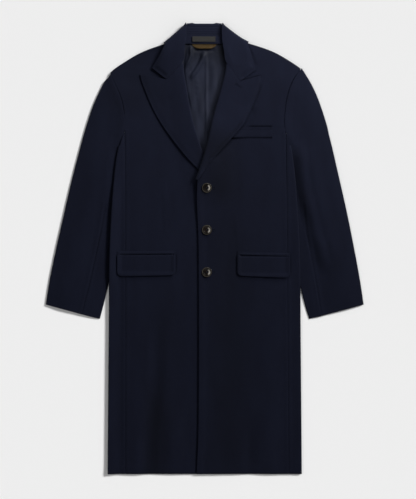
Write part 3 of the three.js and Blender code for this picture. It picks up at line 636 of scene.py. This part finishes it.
def apply_transform() -> None:
    """Move the selected object's place, turn and scale into its points."""
    bpy.ops.object.transform_apply(location=True, rotation=True, scale=True)


def apply_modifiers(piece: bpy.types.Object) -> None:
    """Apply all of a piece's modifiers."""
    only(piece)
    for modifier in list(piece.modifiers):
        bpy.ops.object.modifier_apply(modifier=modifier.name)


def only(piece: bpy.types.Object) -> None:
    """Select one object and make it active."""
    bpy.ops.object.select_all(action="DESELECT")
    piece.select_set(True)
    bpy.context.view_layer.objects.active = piece


def cover(piece: bpy.types.Object, finish: bpy.types.Material) -> None:
    """Give a piece one finish alone."""
    piece.data.materials.clear()
    piece.data.materials.append(finish)


def join(pieces: Sequence[bpy.types.Object]) -> bpy.types.Object:
    """Join pieces into one, with nothing else selected before, and give it back."""
    for piece in pieces:
        piece.select_set(True)
    bpy.ops.object.join()
    return bpy.context.object


class Ground:
    """The upper surface of a finished piece, found by rays straight down."""

    def __init__(self, piece: bpy.types.Object) -> None:
        """Keep the piece's faces in a search tree."""
        mesh = piece.data
        corners = [vertex.co.copy() for vertex in mesh.vertices]
        self.tree = BVHTree.FromPolygons(corners, [face.vertices[:] for face in mesh.polygons])

    def height(self, x: float, y: float) -> float:
        """Give the surface's height in metres at a place in metres."""
        hit = self.tree.ray_cast(Vector((x, y, 0.2)), Vector((0, 0, -1)))[0]
        if hit is None:
            hit = self.tree.find_nearest(Vector((x, y, 0.03)))[0]
        return hit.z

    def settle(self, piece: bpy.types.Object) -> None:
        """Lay a flat piece on the surface, point by point."""
        for vertex in piece.data.vertices:
            vertex.co.z += self.height(vertex.co.x, vertex.co.y)


@dataclass(frozen=True)
class StitchRow:
    """A row of sewn thread, one short rounded stitch after the other."""

    name: str
    start: Point
    end: Point
    slot: Slot = Slot.WOOL
    pitch: float = 3.6
    length: float = 2.6
    thick: float = 0.55

    def build(self, ground: Ground) -> bpy.types.Object:
        """Make the row on the ground."""
        (ax, ay), (bx, by) = self.start, self.end
        run = math.hypot(bx - ax, by - ay)
        bpy.ops.object.select_all(action="DESELECT")
        bpy.ops.mesh.primitive_uv_sphere_add(segments=8, ring_count=6, radius=0.5 * MM)
        row = bpy.context.object
        row.name = self.name
        row.scale = (self.length, self.thick, self.thick)
        apply_transform()
        repeat = row.modifiers.new("row", "ARRAY")
        repeat.use_relative_offset = False
        repeat.use_constant_offset = True
        repeat.count = max(1, round(run / self.pitch))
        repeat.constant_offset_displace = (run / repeat.count * MM, 0, 0)
        apply_modifiers(row)
        row.rotation_euler.z = math.atan2(by - ay, bx - ax)
        row.location = (ax * MM, ay * MM, 0.1 * MM)
        apply_transform()
        ground.settle(row)
        row.data.shade_smooth()
        return row


@dataclass(frozen=True)
class Buttonhole:
    """A worked buttonhole: an oval bead of silk thread round a slit."""

    name: str
    middle: Point
    slot: Slot = Slot.WOOL
    length: float = 24.0
    width: float = 2.6
    bead: float = 0.62
    turn: float = 0.0

    def build(self, ground: Ground) -> bpy.types.Object:
        """Make the bead on the ground."""
        bpy.ops.object.select_all(action="DESELECT")
        bpy.ops.curve.primitive_bezier_circle_add(radius=self.length / 2 * MM)
        ring = bpy.context.object
        ring.name = self.name
        for point in ring.data.splines[0].bezier_points:
            for part in (point.co, point.handle_left, point.handle_right):
                part.y *= self.width / self.length
        ring.data.resolution_u = 16
        ring.data.bevel_depth = self.bead * MM
        ring.data.bevel_resolution = 2
        ring.rotation_euler.z = math.radians(self.turn)
        ring.location = (self.middle[0] * MM, self.middle[1] * MM, 0.15 * MM)
        bpy.ops.object.convert(target="MESH")
        apply_transform()
        ground.settle(ring)
        ring.data.shade_smooth()
        return ring


Trim = StitchRow | Buttonhole


@dataclass(frozen=True)
class Button:
    """A four-hole horn button with a raised rim, seated on the coat as the model's own button is."""

    node: str
    on: str = "front_left"
    radius: float = 12.7
    height: float = 4.4
    rim: float = 2.2
    dish: float = 1.9
    floor: float = 3.6
    holes: float = 2.0
    hole: float = 0.95
    slopes: Spot = (0.45, 0.35, 0.20)  # the dish deepens by these shares, from its rim inwards
    thread: float = 0.9

    def build(self, frame: dict, finishes: dict[Slot, bpy.types.Material]) -> None:
        """Make the button and the threads that cross in its holes."""
        seat = self.seat(frame)
        disc = self.disc()
        cross = self.threads()
        for piece, slot in ((disc, Slot.HORN), (cross, Slot.SATIN)):
            cover(piece, finishes[slot])
            piece.data.transform(seat)
            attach(piece, BODY)
        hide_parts(self.node)

    def seat(self, frame: dict) -> Matrix:
        """Find the model's button's middle and its axis, raised as the cloth under it is."""
        own = np.array([vertex.co[:] for vertex in frame["nodes"][self.node].data.vertices])
        middle = own.mean(axis=0)
        axis = Vector(np.linalg.svd(own - middle, full_matrices=False)[2][2])
        if axis.z < 0:
            axis.negate()
        along = (own - middle) @ np.array(axis)
        middle += np.array(axis) * (along.max() + along.min()) / 2
        before = Ground(frame["nodes"][self.on])
        after = Ground(bpy.data.objects[f"{self.on}_cloth"])
        rise = after.height(middle[0], middle[1]) - before.height(middle[0], middle[1])
        place = Matrix.Translation(Vector(middle) + Vector((0, 0, rise)))
        return place @ Vector((0, 0, 1)).rotation_difference(axis).to_matrix().to_4x4()

    def disc(self) -> bpy.types.Object:
        """Turn the disc: inset the top twice, sink it, round the edges and bore four holes."""
        bpy.ops.object.select_all(action="DESELECT")
        bpy.ops.mesh.primitive_cylinder_add(vertices=72, radius=self.radius * MM, depth=self.height * MM)
        disc = bpy.context.object
        disc.name = f"{self.node}_horn"
        for face in disc.data.polygons:
            face.select = face.normal.z > 0.9
        bpy.ops.object.mode_set(mode="EDIT")
        bpy.ops.mesh.select_mode(type="FACE")
        slope = (self.radius - self.rim - self.floor) / 3
        bpy.ops.mesh.inset(thickness=self.rim * MM)
        for share in self.slopes:
            bpy.ops.mesh.inset(thickness=slope * MM)
            bpy.ops.transform.translate(value=(0, 0, -self.dish * share * MM))
        bpy.ops.object.mode_set(mode="OBJECT")
        rounding = disc.modifiers.new("round", "BEVEL")
        rounding.width = 0.8 * MM
        rounding.segments = 4
        rounding.limit_method = "ANGLE"
        rounding.angle_limit = math.radians(30)
        apply_modifiers(disc)
        self.bore(disc)
        disc.data.shade_smooth()
        disc.data.set_sharp_from_angle(angle=math.radians(32))
        return disc

    def bore(self, disc: bpy.types.Object) -> None:
        """Cut the four holes."""
        bpy.ops.object.select_all(action="DESELECT")
        drills = []
        for x, y in ((-1, -1), (-1, 1), (1, -1), (1, 1)):
            bpy.ops.mesh.primitive_cylinder_add(
                vertices=20,
                radius=self.hole * MM,
                depth=12 * MM,
                location=(x * self.holes * MM, y * self.holes * MM, 0),
            )
            drills.append(bpy.context.object)
        drill = join(drills)
        cut = disc.modifiers.new("holes", "BOOLEAN")
        cut.operation = "DIFFERENCE"
        cut.object = drill
        apply_modifiers(disc)
        bpy.data.objects.remove(drill, do_unlink=True)

    def threads(self) -> bpy.types.Object:
        """Cross two strands of thread over the button's floor."""
        bpy.ops.object.select_all(action="DESELECT")
        strands = []
        reach = math.hypot(self.holes, self.holes) * 2 + 1.4
        for turn in (45, 135):
            bpy.ops.mesh.primitive_uv_sphere_add(segments=12, ring_count=8, radius=0.5 * MM)
            strand = bpy.context.object
            strand.scale = (reach, self.thread, self.thread)
            strand.rotation_euler.z = math.radians(turn)
            strand.location.z = (self.height / 2 - self.dish + 0.25) * MM
            apply_transform()
            strands.append(strand)
        cross = join(strands)
        cross.name = f"{self.node}_thread"
        cross.data.shade_smooth()
        return cross


@dataclass(frozen=True)
class Cut:
    """How a sheet was cut, its flat width and length in metres, and how it is held."""

    width: float
    length: float
    held: Hold = Hold.LAID
    rests_on: tuple[str, ...] = ()


@dataclass
class Panel:
    """One cloth piece: a fine, dressed copy of the model's own piece.

    Attributes:
        node: the model's piece.
        slot: the record's slot for its finish.
        cut: how the sheet was cut.
        levels: how often the copy is subdivided.
        rim: how round its edges are, in millimetres.
        own: the forms that lift this piece alone.
        pulls: the forms that move it across.
        slides: the forms that move it along.
        steady: the heights from which, and up to which, the cloth becomes free to lift.
        sink: the largest share of its height above the bed that the cloth may sink.
        bed: the height of the lowest layer's top, in millimetres.
        sharp_angle: edges that turn by more degrees than this are rims.
        trims: what is sewn on it.
    """

    node: str
    slot: Slot
    cut: Cut
    levels: int = 3
    rim: float = 0.55
    own: tuple[Relief, ...] = ()
    pulls: tuple[Fold, ...] = ()
    slides: tuple[Fold, ...] = ()
    steady: Point = (2.2, 3.8)
    sink: float = 0.7
    bed: float = 0.8
    sharp_angle: float = 50.0
    trims: tuple[Trim, ...] = ()

    def build(self, frame: dict, material: bpy.types.Material) -> bpy.types.Object:
        """Args:
            frame: the loaded model.
            material: the cloth's finish.

        Returns:
            The finished object.
        """
        source = frame["nodes"][self.node]
        area = self.flat_area(source.data)
        piece = add(f"{self.node}_cloth", self.clean_copy(source.data))
        self.refine(piece)
        self.drape(piece.data)
        cover(piece, material)
        piece.data.shade_smooth()
        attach(piece, BODY)
        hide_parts(self.node)
        return piece

    def flat_area(self, mesh: bpy.types.Mesh) -> float:
        """Give the cut's flat area in square metres, from the model's piece: half of its two faces."""
        return min(sum(p.area for p in mesh.polygons) / 2, self.cut.width * self.cut.length)

    def clean_copy(self, mesh: bpy.types.Mesh) -> bpy.types.Mesh:
        """Copy a mesh, merge its loose triangles into quads and crease its rims.

        Args:
            mesh: the model's piece.

        Returns:
            A new mesh.
        """
        copy = bpy.data.meshes.new(f"{self.node}_cloth")
        work = bmesh.new()
        work.from_mesh(mesh)
        bmesh.ops.remove_doubles(work, verts=work.verts, dist=0.02 * MM)
        bmesh.ops.join_triangles(
            work,
            faces=work.faces,
            angle_face_threshold=math.radians(40),
            angle_shape_threshold=math.pi,
        )
        crease = work.edges.layers.float.new("crease_edge")
        for edge in work.edges:
            if len(edge.link_faces) == 2 and edge.calc_face_angle() > math.radians(self.sharp_angle):
                edge[crease] = 1.0
        work.to_mesh(copy)
        work.free()
        return copy

    def refine(self, piece: bpy.types.Object) -> None:
        """Subdivide the piece and round its rims."""
        smooth = piece.modifiers.new("fine", "SUBSURF")
        smooth.levels = smooth.render_levels = self.levels
        rounding = piece.modifiers.new("rim", "BEVEL")
        rounding.width = self.rim * MM
        rounding.segments = 2
        rounding.limit_method = "ANGLE"
        rounding.angle_limit = math.radians(self.sharp_angle)
        apply_modifiers(piece)

    def drape(self, mesh: bpy.types.Mesh) -> None:
        """Move points across by the pulls, along by the slides, and up or down by the forms."""
        points = np.empty(len(mesh.vertices) * 3)
        mesh.vertices.foreach_get("co", points)
        places = points.reshape(-1, 3)
        x, y, z = places.T / MM
        low, high = self.steady
        free = np.clip((z - low) / (high - low), 0, 1)
        lift = sum((form.at(x, y) for form in DRAPE + self.own), np.zeros_like(x))
        across = sum((form.at(x, y) for form in self.pulls), np.zeros_like(x))
        along = sum((form.at(x, y) for form in self.slides), np.zeros_like(x))
        deepest = -self.sink * np.maximum(z - self.bed, 0)
        places[:, 0] += across * MM
        places[:, 1] += along * MM
        places[:, 2] += np.maximum(lift * free, deepest) * MM
        mesh.vertices.foreach_set("co", points)
        mesh.update()


@dataclass(frozen=True)
class Lamp:
    """A far lamp: its strength, its width in degrees and where it stands."""

    name: str
    energy: float
    spread: float
    towards: Spot


@dataclass(frozen=True)
class NearLamp:
    """A square lamp near the coat: its power, its size, where it stands and what it faces, in metres."""

    name: str
    power: float
    size: float
    at: Spot
    aim: Spot


@dataclass
class Studio:
    """The floor, the soft light and the camera above the coat.

    Attributes:
        picture: the photograph's width and height in pixels.
        scale: millimetres to a pixel.
        aim: what lies in the picture's middle, in millimetres.
        lens: the focal length in millimetres.
        sensor: the sensor's width in millimetres.
        level: the height at which the scale holds, in millimetres.
        floor_half: half the floor's width in metres.
        sky: the strength of the even light.
        lamps: the far lamps.
        shoulder_lamp: the lamp that lights the coat alone.
    """

    picture: tuple[int, int] = (416, 499)
    scale: float = 2.6
    aim: Point = (8.6, -2.1)
    lens: float = 100.0
    sensor: float = 36.0
    level: float = 8.0
    floor_half: float = 3.0
    sky: float = 0.15
    lamps: tuple[Lamp, ...] = (
        Lamp("key", 3.30, 14, (0.95, 0.62, 0.9)),
        Lamp("left_fill", 0.46, 26, (-0.62, 0.12, 0.9)),
        Lamp("low_fill", 0.30, 50, (0.10, -0.80, 0.80)),
    )
    shoulder_lamp: NearLamp = NearLamp("shoulder_lamp", 10.5, 0.5, (0.36, 1.00, 0.48), (0.10, 0.50, 0.0))

    def build(self) -> None:
        """Make the floor, the lights and the camera."""
        self.floor()
        self.lights()
        self.camera()

    def floor(self) -> None:
        """Lay the floor just under the coat."""
        bpy.ops.object.select_all(action="DESELECT")
        bpy.ops.mesh.primitive_plane_add(size=2 * self.floor_half, location=(0, 0, -0.0002))
        plane = bpy.context.object
        plane.name = "floor"
        apply_transform()
        plane.data.materials.append(FloorFinish().build())
        plane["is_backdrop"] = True

    def lights(self) -> None:
        """Set a dim sky, a soft key light from the upper right and two weak wide fills."""
        world = bpy.data.worlds.new("studio")
        world.use_nodes = True
        background = world.node_tree.nodes["Background"]
        background.inputs["Color"].default_value = rgba(WHITE)
        background.inputs["Strength"].default_value = self.sky
        bpy.context.scene.world = world
        for lamp in self.lamps:
            data = bpy.data.lights.new(lamp.name, "SUN")
            data.energy = lamp.energy
            data.angle = math.radians(lamp.spread)
            light = add(lamp.name, data)
            light.rotation_euler = Vector(lamp.towards).to_track_quat("Z", "Y").to_euler()
        bpy.context.scene.view_settings.view_transform = "Standard"

    def light_coat(self, pieces: Sequence[bpy.types.Object]) -> None:
        """Set a near lamp at the left shoulder that lights the coat alone, so that the floor stays even."""
        coat = bpy.data.collections.new("coat")
        for piece in pieces:
            coat.objects.link(piece)
        near = self.shoulder_lamp
        data = bpy.data.lights.new(near.name, "AREA")
        data.energy = near.power
        data.size = near.size
        lamp = add(near.name, data)
        lamp.location = near.at
        lamp.rotation_euler = (Vector(near.at) - Vector(near.aim)).to_track_quat("Z", "Y").to_euler()
        lamp.light_linking.receiver_collection = coat

    def camera(self) -> None:
        """Hang the camera straight above the picture's middle."""
        data = bpy.data.cameras.new("above")
        data.lens = self.lens
        data.sensor_width = self.sensor
        tall = self.picture[1] * self.scale * MM
        distance = self.lens / self.sensor * tall
        camera = add("above", data)
        camera.location = (self.aim[0] * MM, self.aim[1] * MM, distance + self.level * MM)
        bpy.context.scene.camera = camera


@dataclass
class Body:
    """The back, the two fronts with their turned lapels, their facings and the side bodies.

    Where a value has two parts, the first is the wearer's right side and the second the left.
    """

    seam: tuple[tuple[Point, ...], ...] = (
        ((-207.5, 303), (-206, 127), (-206, -224), (-206, -620)),
        ((211, 303), (214, 127), (216, -224), (219, -620)),
    )
    closing: tuple[Point, ...] = ((-15, 182), (-22, 127), (-16.5, 23), (-16, -471), (-21, -620))
    hem: tuple[Point, ...] = ((-290, -586), (290, -586))
    lapels: tuple[Fold, ...] = (
        Fold(
            (
                (-165, 470), (-160, 431), (-144, 392), (-130, 361), (-112, 329),
                (-87, 293), (-61, 259), (-35, 228), (3, 186),
            ),
            12,
            -0.8,
            30,
        ),
        Fold(
            (
                (152, 470), (147, 431), (131, 392), (117, 361), (102, 329),
                (72, 293), (41, 259), (14, 228), (-9, 190),
            ),
            8.5,
            -4.6,
            30,
        ),
    )
    buttonholes: tuple[Buttonhole, ...] = (
        Buttonhole("buttonhole_1", (15.5, 158)),
        Buttonhole("buttonhole_2", (15.5, 49)),
        Buttonhole("buttonhole_3", (15.5, -61)),
    )
    lapel_hole: Buttonhole = Buttonhole("lapel_buttonhole", (88.5, 424.3), length=21, turn=-28)
    welt_hollow: Fold = Fold(((72, 316), (178, 316)), 5.5, -3.4, 8)
    flap_hollows: tuple[Fold, ...] = (
        Fold(((-78, -10), (-78, -72)), 7, -2.8, 14),
        Fold(((221, -10), (221, -74)), 6, -1.6, 14),
    )
    lapel_hollows: tuple[Fold, ...] = (
        Fold(
            ((146, 432), (132, 392), (118, 361), (103, 329), (73, 293), (42, 259), (15, 228)),
            8,
            -3.4,
            24,
        ),
        Fold(((78, 429), (93, 433), (120, 439.5), (150, 448)), 7, -5.2, 12),
        CHEST_HOLLOW,
    )
    leaf_hollow: Fold = Fold(((107, 534), (117, 517), (126, 493), (132, 470)), 7, -1.6, 14)
    creases: tuple[Fold, ...] = (
        Fold(((-106, 190), (-103, 110), (-101, 30)), 8, 0.8, 50),
        Fold(((80, 96), (83, 50), (86, 4)), 8, 0.7, 40),
        Fold(((-96, 160), (-94, 60)), 9, 0.5, 40),
        Fold(((150, 60), (152, 10)), 10, 0.5, 30),
    )

    def panels(self) -> list[Panel]:
        """List the body's cloth pieces: the left front lies on the right one and holds the buttonholes."""
        hem = SeamRidge(self.hem, 9, 11, 0.8)
        pressed = Fold(self.closing, 26, 1.9, 90)
        line = SeamRidge(self.closing, 11, 4.5, 0.5)
        hollows = (self.welt_hollow, *self.flap_hollows, *self.lapel_hollows, self.leaf_hollow)
        made = [Panel("back", Slot.WOOL, Cut(0.500, 1.135), levels=1)]
        for side, name in enumerate(SIDES):
            on_left = name == "left"
            outwards = 1 if on_left else -1
            seam = SeamRidge(self.seam[side], lift=0.8)
            own = (hem, seam, *ROLLED, *self.creases, *hollows)
            made.append(
                Panel(
                    f"front_{name}",
                    Slot.WOOL,
                    Cut(0.315, 1.135, Hold.FOLDED, ("back", "front_right") if on_left else ("back",)),
                    own=(*own, pressed, line) if on_left else own,
                    trims=self.buttonholes if on_left else (),
                )
            )
            lapel = self.lapels[side]
            made.append(
                Panel(
                    f"facing_{name}",
                    Slot.WOOL,
                    Cut(0.155, 0.32, Hold.FOLDED, (f"front_{name}",)),
                    own=(lapel, pressed, *ROLLED) if on_left else (lapel, *ROLLED),
                    trims=(self.lapel_hole,) if on_left else (),
                )
            )
            made.append(
                Panel(
                    f"side_{name}",
                    Slot.WOOL,
                    Cut(0.110, 0.892, Hold.FOLDED),
                    own=(hem, seam, *FULL[side], *hollows),
                    pulls=(Fold(EDGES[side], 24, 2.2 * outwards, 30),),
                )
            )
        return made


@dataclass
class Sleeves:
    """Top and under sleeves, each folded round one edge of the flattened tube.

    Where a value has two parts, the first is the wearer's right side and the second the left. The inner
    edge, the elbow and the armpit are given for the left and mirrored.
    """

    forearm: tuple[tuple[Point, ...], ...] = (
        ((-259, 115), (-272, 40), (-296, -70), (-320, -168)),
        ((257, 115), (266, 40), (286, -70), (303, -170)),
    )
    armhole: tuple[tuple[Point, ...], ...] = (
        ((-246, 457), (-225, 415), (-211, 370), (-208, 330), (-211, 300), (-224, 268)),
        ((250, 468), (229, 440), (216, 400), (210, 350), (211, 300), (226, 268)),
    )
    inner: tuple[Point, ...] = (
        (222, 300), (228.8, 240), (233.6, 210), (237.2, 172), (240.6, 128), (243.6, 80),
        (246, 30), (248.2, -22), (252, -84), (262, -138), (285, -225),
    )
    elbow: tuple[Point, ...] = ((247, 0), (252, -84), (259, -125))
    heads: tuple[tuple[Fold, ...], ...] = (
        (Fold(((-256, 476), (-252, 456), (-262, 434)), 15, 5.5, 14),),
        (Fold(((262, 458), (278, 426), (296, 372), (307, 340), (318, 290)), 22, 1.7, 30),),
    )
    tips: tuple[tuple[Fold, ...], ...] = (
        (Fold(((-262, 458), (-240, 458)), 10, -2.5, 8),),
        (Fold(((240, 470), (266, 466)), 12, -2.2, 14),),
    )
    armpit: tuple[Point, ...] = ((209, 356), (210, 325), (213, 298), (224, 262))
    bent: tuple[tuple[Fold, ...], ...] = (
        (),
        (
            Fold(BENT, 25, 7.6, 60),
            Fold(tuple((x + 26, y) for x, y in BENT), 40, 5.4, 90),
            Fold(((229, 250), (236, 195), (246, 140), (259, 88), (270, 36)), 18, -2.0, 50),
        ),
    )

    def panels(self) -> list[Panel]:
        """List the sleeves' cloth pieces."""
        made = []
        for side, name in enumerate(SIDES):
            outwards = 1 if name == "left" else -1
            inner, elbow, armpit = (
                tuple((outwards * x, y) for x, y in path) for path in (self.inner, self.elbow, self.armpit)
            )
            pulls = (
                Fold(inner, 26, -3.2 * outwards, 40),
                Fold(elbow, 26, -2.2 * outwards, 40),
                Fold(armpit, 14, -1.5 * outwards, 16),
                *self.heads[side],
            )
            seam = (SeamRidge(self.forearm[side], lift=0.8), Fold(self.forearm[side], 3.5, -0.8, 12))
            shared = (*seam, Fold(inner, 26, -3.2, 60), *self.bent[side])
            head = SeamRidge(self.armhole[side], 7, 7, 1.1)
            for part, cut, own in (
                ("top", Cut(0.245, 0.66, Hold.FOLDED), (head, *shared)),
                ("under", Cut(0.160, 0.62, Hold.FOLDED), shared),
            ):
                node = f"{part}_sleeve_{name}"
                made.append(Panel(node, Slot.WOOL, cut, own=own, pulls=pulls, slides=self.tips[side]))
        return made


@dataclass
class Neck:
    """The lining that the neck shows, the collar's stand, the bare label, the hanger tape and the collar.

    The rows, ends and tacks are where the neck's stitches lie: rows run across, the others at both ends.
    """

    wrinkles: tuple[Relief, ...] = (
        Fold(((4.5, 512), (4, 400), (5, 250)), 5, 1.8, 30),
        Fold(((-37, 532), (-36, 502), (-43, 484), (-51, 468)), 6.5, 4.6, 18),
        Fold(((2, 516), (-6, 490), (-19, 468), (-31, 451), (-38, 438)), 9.5, 6.0, 18),
        Fold(((20, 500), (24, 440), (20, 402)), 13, 1.4, 30),
        Fold(((-16, 436), (-13, 400), (-10, 368), (-6, 330)), 11, 1.0, 30),
        Fold(((-27, 437), (-12, 434)), 4, 0.8, 6),
        Fold(((-26, 424), (-12, 420)), 4, 0.9, 6),
        Fold(((-25, 407), (-12, 404)), 4, 0.8, 6),
        Fold(((-24, 392), (-12, 389)), 4, 0.7, 6),
        Fold(((8, 372), (10, 330), (9, 290)), 8, 1.0, 26),
        Fold(((-9, 512), (-18, 486), (-30, 466), (-41, 452)), 6, -2.4, 14),
        Fold(((-46, 528), (-55, 486), (-55.5, 452), (-51.5, 420), (-45, 392), (-34, 350)), 6, -3.2, 40),
        Fold(((-32, 517), (30, 517)), 7, -2.4, 10),
    )
    quilting: tuple[Fold, ...] = tuple(
        Fold(((-52, up), (50, up)), 3.2, 0.8, 12) for up in (580.0, 572.5, 566.5)
    )
    eased: tuple[Fold, ...] = (
        Fold(((-56, 512), (-58, 487), (-57, 462)), 12, 2.6, 20),
        Fold(((57, 512), (59, 487), (57, 462)), 12, -2.4, 20),
        Fold(((108, 556), (110, 530), (118, 505), (126, 484)), 20, 6.0, 26),
    )
    corners: tuple[Fold, ...] = (
        Fold(((-56, 584), (-24, 584)), 7, 2.4, 10),
        Fold(((22, 584), (54, 584)), 7, 2.4, 10),
        Fold(((-53, 579), (-40, 579)), 7, 3.6, 4),
        Fold(((39, 579), (51, 579)), 7, 3.6, 4),
    )
    leaves: tuple[Fold, ...] = (
        Fold(((-104, 560), (-105, 535), (-134, 472), (-98, 442)), 13, -2.6, 12),
        Fold(((107, 560), (108, 537), (131, 468), (94, 438)), 13, -2.8, 12),
    )
    rows: Spot = (553.5, 535.5, 556.0)
    ends: Point = (-30.6, 26.6)
    tacks: Point = (-31.5, 22.5)

    def sewn(self) -> tuple[tuple[StitchRow, ...], ...]:
        """List the stitches of the stand, of the label and of the hanger tape."""
        rows = tuple(
            StitchRow(f"stand_stitches_{number}", (-56, up), (53, up))
            for number, up in enumerate(self.rows, start=1)
        )
        ends = tuple(
            StitchRow(f"label_stitches_{number}", (out, 538.3), (out, 549.7), Slot.LABEL, 2.2, 1.6, 0.5)
            for number, out in enumerate(self.ends, start=1)
        )
        tacks = tuple(
            StitchRow(f"hanger_stitches_{number}", (out, 529.8), (out + 7, 529.8), Slot.TAPE, 1.6, 1.2, 0.5)
            for number, out in enumerate(self.tacks, start=1)
        )
        return rows, ends, tacks

    def panels(self) -> list[Panel]:
        """List the neck's cloth pieces."""
        rows, ends, tacks = self.sewn()
        return [
            Panel(
                "back_lining",
                Slot.SATIN,
                Cut(0.162, 0.345, Hold.LAID, ("back",)),
                own=self.wrinkles,
                rim=0.3,
                steady=(0.0, 1.0),
            ),
            Panel(
                "collar_stand",
                Slot.WOOL,
                Cut(0.130, 0.029, Hold.LAID, ("back",)),
                steady=(2.4, 3.0),
                trims=rows,
            ),
            Panel(
                "neck_label",
                Slot.LABEL,
                Cut(0.062, 0.016, Hold.LAID, ("collar_stand",)),
                rim=0.25,
                trims=ends,
            ),
            Panel(
                "hanger_loop",
                Slot.TAPE,
                Cut(0.066, 0.0155, Hold.LAID, ("back_lining",)),
                rim=0.35,
                own=(Fold(((-26, 519), (22, 519)), 9, 2.2, 10),),
                slides=(Fold(((-60, 514), (60, 514)), 15, 3.0, 4),),
                trims=tacks,
            ),
            Panel(
                "collar_fall",
                Slot.WOOL,
                Cut(0.290, 0.160, Hold.FOLDED, ("front_right", "front_left")),
                rim=1.0,
                own=(*self.leaves, *ROLLED, *self.quilting),
                pulls=self.eased,
                slides=self.corners,
            ),
        ]


@dataclass
class Pockets:
    """The chest pocket's welt, and the jets and flaps of the lower pockets."""

    flaps: tuple[tuple[Point, ...], ...] = (
        ((-224, 0), (-224, -62), (-214, -68), (-90, -68), (-79, -62), (-79, 0)),
        ((88, 0), (88, -66), (97, -72), (210, -72), (219, -66), (219, 0)),
    )
    mouths: Point = (-13.5, -17.5)
    welt: tuple[Relief, ...] = (
        Fold(((60, 287), (190, 287)), 7, -1.4, 10),
        Fold(((60, 318), (190, 318)), 8, 0.9, 10),
        CHEST_HOLLOW,
    )
    welt_slide: Fold = Fold(((40, 319), (210, 319)), 18, -3.6, 10)

    def panels(self) -> list[Panel]:
        """List the pockets' cloth pieces."""
        cut = Cut(0.114, 0.031, Hold.LAID, ("front_left",))
        made = [Panel("chest_welt", Slot.WOOL, cut, rim=0.6, own=self.welt, slides=(self.welt_slide,))]
        for side, name in enumerate(SIDES):
            front = (f"front_{name}",)
            outline = self.flaps[side]
            edge = Fold(outline, 11, 2.4, 12)
            start, end, up = outline[0][0], outline[-1][0], self.mouths[side]
            lip = Fold(((start, up + 2), (end, up + 2)), 6, 1.6, 4)
            mouth = Fold(((start, up), (end, up)), 6, -3.2, 4)
            jet = Cut(0.160, 0.0125, Hold.LAID, front)
            flap = Cut(0.160, 0.060, Hold.LAID, front)
            made.append(Panel(f"jet_{name}", Slot.WOOL, jet, rim=0.5, own=(lip, *FULL[side])))
            made.append(Panel(f"flap_{name}", Slot.WOOL, flap, rim=0.8, own=(edge, mouth, *FULL[side])))
        return made


def sew(panel: Panel, frame: dict, finishes: dict[Slot, bpy.types.Material]) -> None:
    """Make one cloth piece and what is sewn on it."""
    piece = panel.build(frame, finishes[panel.slot])
    LOG.info("%s has %d faces", piece.name, len(piece.data.polygons))
    if not panel.trims:
        return
    ground = Ground(piece)
    for trim in panel.trims:
        sewn = trim.build(ground)
        cover(sewn, finishes[trim.slot])
        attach(sewn, BODY)


def main() -> None:
    """Load the model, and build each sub-assembly."""
    logging.basicConfig(level=logging.INFO, format="%(name)s: %(message)s")
    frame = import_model()
    studio = Studio()
    studio.build()
    finishes = {
        Slot.WOOL: WoolFinish().build(),
        Slot.SATIN: SatinFinish().build(),
        Slot.LABEL: LABEL_FINISH.build(),
        Slot.TAPE: HANGER_FINISH.build(),
        Slot.HORN: HornFinish().build(),
    }
    for assembly in (Body(), Sleeves(), Neck(), Pockets()):
        for panel in assembly.panels():
            sew(panel, frame, finishes)
    for number in (1, 2, 3):
        Button(f"button_{number}").build(frame, finishes)
    studio.light_coat(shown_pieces())


if __name__ == "__main__":
    main()
